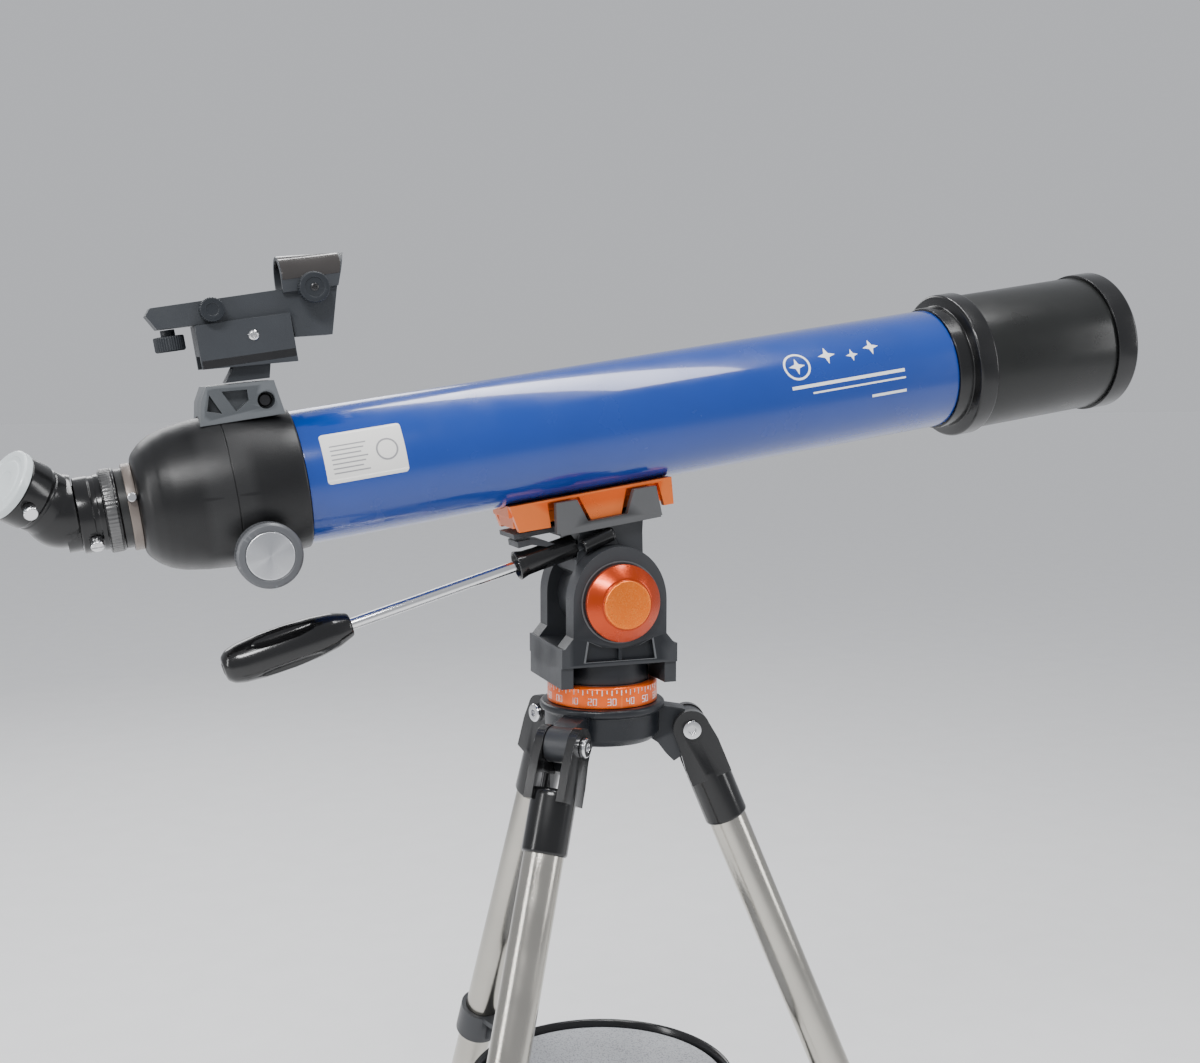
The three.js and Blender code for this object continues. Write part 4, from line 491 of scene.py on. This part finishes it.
# ----------------------------------------------- generic marks on the tube
def on_tube(poly, q=45.0, hgt=.08, nu=1):
    """a flat outline given as (u, arc mm) wrapped on the tube; arc 0 faces -Y and grows upwards"""
    import bmesh
    bm = bmesh.new(); vs = [bm.verts.new((a, b, 0)) for a, b in poly]; bm.faces.new(vs)
    lo, hi = min(b for _, b in poly), max(b for _, b in poly); k = lo + .8
    while k < hi:
        bmesh.ops.bisect_plane(bm, geom=bm.verts[:] + bm.edges[:] + bm.faces[:], plane_co=(0, k, 0), plane_no=(0, 1, 0)); k += .8
    bmesh.ops.triangulate(bm, faces=bm.faces[:]); bm.verts.ensure_lookup_table(); bm.verts.index_update()
    v, f = [], []
    for w in bm.verts:
        a = w.co.y / 45.0; v.append((w.co.x, -(q + hgt) * math.cos(a), AX + (q + hgt) * math.sin(a)))
    for fc in bm.faces: f.append(tuple(x.index for x in fc.verts))
    bm.free(); return G(v, f)
def rrect(u0, u1, a0, a1, r=2.0):
    p = []
    for cx, cy, s in ((u1 - r, a1 - r, 0), (u0 + r, a1 - r, 90), (u0 + r, a0 + r, 180), (u1 - r, a0 + r, 270)):
        p += [(cx + r * math.cos(rad(s + k * 15)), cy + r * math.sin(rad(s + k * 15))) for k in range(7)]
    return p
put("pale_sticker", on_tube(rrect(-189, -135, -4, 30, 2.4), hgt=.06), "sticker", OT, "blue_gloss", "T", sharp=180)
lines = None
for k in range(7):
    g = on_tube([(-184, 20 - k * 3), (-160 - (k % 3) * 2, 20 - k * 3), (-160 - (k % 3) * 2, 20.9 - k * 3), (-184, 20.9 - k * 3)], hgt=.10); lines = g if lines is None else lines + g
put("sticker_lines", lines, "grey_ink", OT, "blue_gloss", "T", sharp=180)
def disc_ring(cu, ca, q0, q1, n=36):
    g = None
    for k in range(n):
        a, b = 2 * math.pi * k / n, 2 * math.pi * (k + 1) / n
        s = on_tube([(cu + q0 * math.cos(a), ca + q0 * math.sin(a)), (cu + q1 * math.cos(a), ca + q1 * math.sin(a)), (cu + q1 * math.cos(b), ca + q1 * math.sin(b)), (cu + q0 * math.cos(b), ca + q0 * math.sin(b))], hgt=.10)
        g = s if g is None else g + s
    return g
put("sticker_ring", disc_ring(-147, 13, 6.2, 7.4), "grey_ink", OT, "blue_gloss", "T", sharp=180)
def star(cu, ca, q):
    return on_tube([(cu + (q if k % 2 == 0 else q * .36) * math.cos(math.pi / 2 + k * math.pi / 4), ca + (q if k % 2 == 0 else q * .36) * math.sin(math.pi / 2 + k * math.pi / 4)) for k in range(8)])
deco = disc_ring(158, 22, 9.0, 10.6) + star(158, 22, 6.5) + star(184, 27, 7) + star(204, 24, 5) + star(221, 28, 6.5)
deco += on_tube([(150, 5), (243, 5), (243, 7.4), (150, 7.4)]) + on_tube([(166, 0), (243, 0), (243, 1.3), (166, 1.3)]) + on_tube([(214, -10), (243, -10), (243, -8), (214, -8)])
put("stripes_and_stars", deco, "white_ink", OT, "blue_gloss", "T", sharp=180)

# ------------------------------------------------------- floor, light, camera
def plain(name, col, rough):
    m = material(name, col, rough, rvar=0.05, cvar=0.015, bump=0.03, bscale=300, edge=0, dust=0.0); return m
fl_me = bpy.data.meshes.new("floor"); fl_me.from_pydata([(-30, -30, 0), (30, -30, 0), (30, 30, 0), (-30, 30, 0)], [], [(0, 1, 2, 3)])
floor = bpy.data.objects.new("floor", fl_me); bpy.context.scene.collection.objects.link(floor); fl_me.materials.append(plain("floor_pale", (0.80, 0.80, 0.80), 0.7))
for n in fl_me.materials[0].node_tree.nodes:          # a faint glow, so the far floor meets the backdrop with no line
    if n.type == "BSDF_PRINCIPLED": n.inputs["Emission Color"].default_value = (.93, .95, 1, 1); n.inputs["Emission Strength"].default_value = .12

def area(name, loc, target, sx, sy, power, col=(1, 1, 1)):
    d = bpy.data.lights.new(name, "AREA"); d.shape = "RECTANGLE"; d.size, d.size_y, d.energy, d.color = sx, sy, power, col
    o = bpy.data.objects.new(name, d); bpy.context.scene.collection.objects.link(o); o.location = loc
    o.rotation_euler = (Vector(target) - Vector(loc)).to_track_quat("-Z", "Y").to_euler()
area("key", (-1.5, -2.2, 2.9), (0, 0, .8), 1.5, .45, 88)
area("top", (0.3, 0.1, 3.0), (0, 0, .8), 2.4, .45, 60)
area("fill", (2.6, -1.6, 1.5), (0, 0, .8), .5, 1.6, 20)
area("back", (-.6, 2.8, 2.2), (0, 0, .8), 2.0, 1.0, 26)
area("side", (-2.7, -.5, 1.3), (0, 0, .7), .35, 1.7, 20)
w = bpy.data.worlds.new("studio"); w.use_nodes = True; w.node_tree.nodes["Background"].inputs[0].default_value = (.93, .95, 1, 1); w.node_tree.nodes["Background"].inputs[1].default_value = .60; bpy.context.scene.world = w

cam = bpy.data.cameras.new("cam"); cam.lens = 45; cam.sensor_width = 36; cam.sensor_fit = "HORIZONTAL"; cam.clip_start = .01
co = bpy.data.objects.new("cam", cam); bpy.context.scene.collection.objects.link(co)
Fv = Vector((0.340, 0.935, -0.105)).normalized(); Rv = Vector((0.940, -0.342, 0)).normalized(); Uv = Rv.cross(Fv).normalized(); Rv = Fv.cross(Uv)
CX, CY, CZ = (V(-370, -1013, 160) + S) / 1000
co.matrix_world = Matrix(((Rv.x, Uv.x, -Fv.x, CX), (Rv.y, Uv.y, -Fv.y, CY), (Rv.z, Uv.z, -Fv.z, CZ), (0, 0, 0, 1)))
bpy.context.scene.camera = co
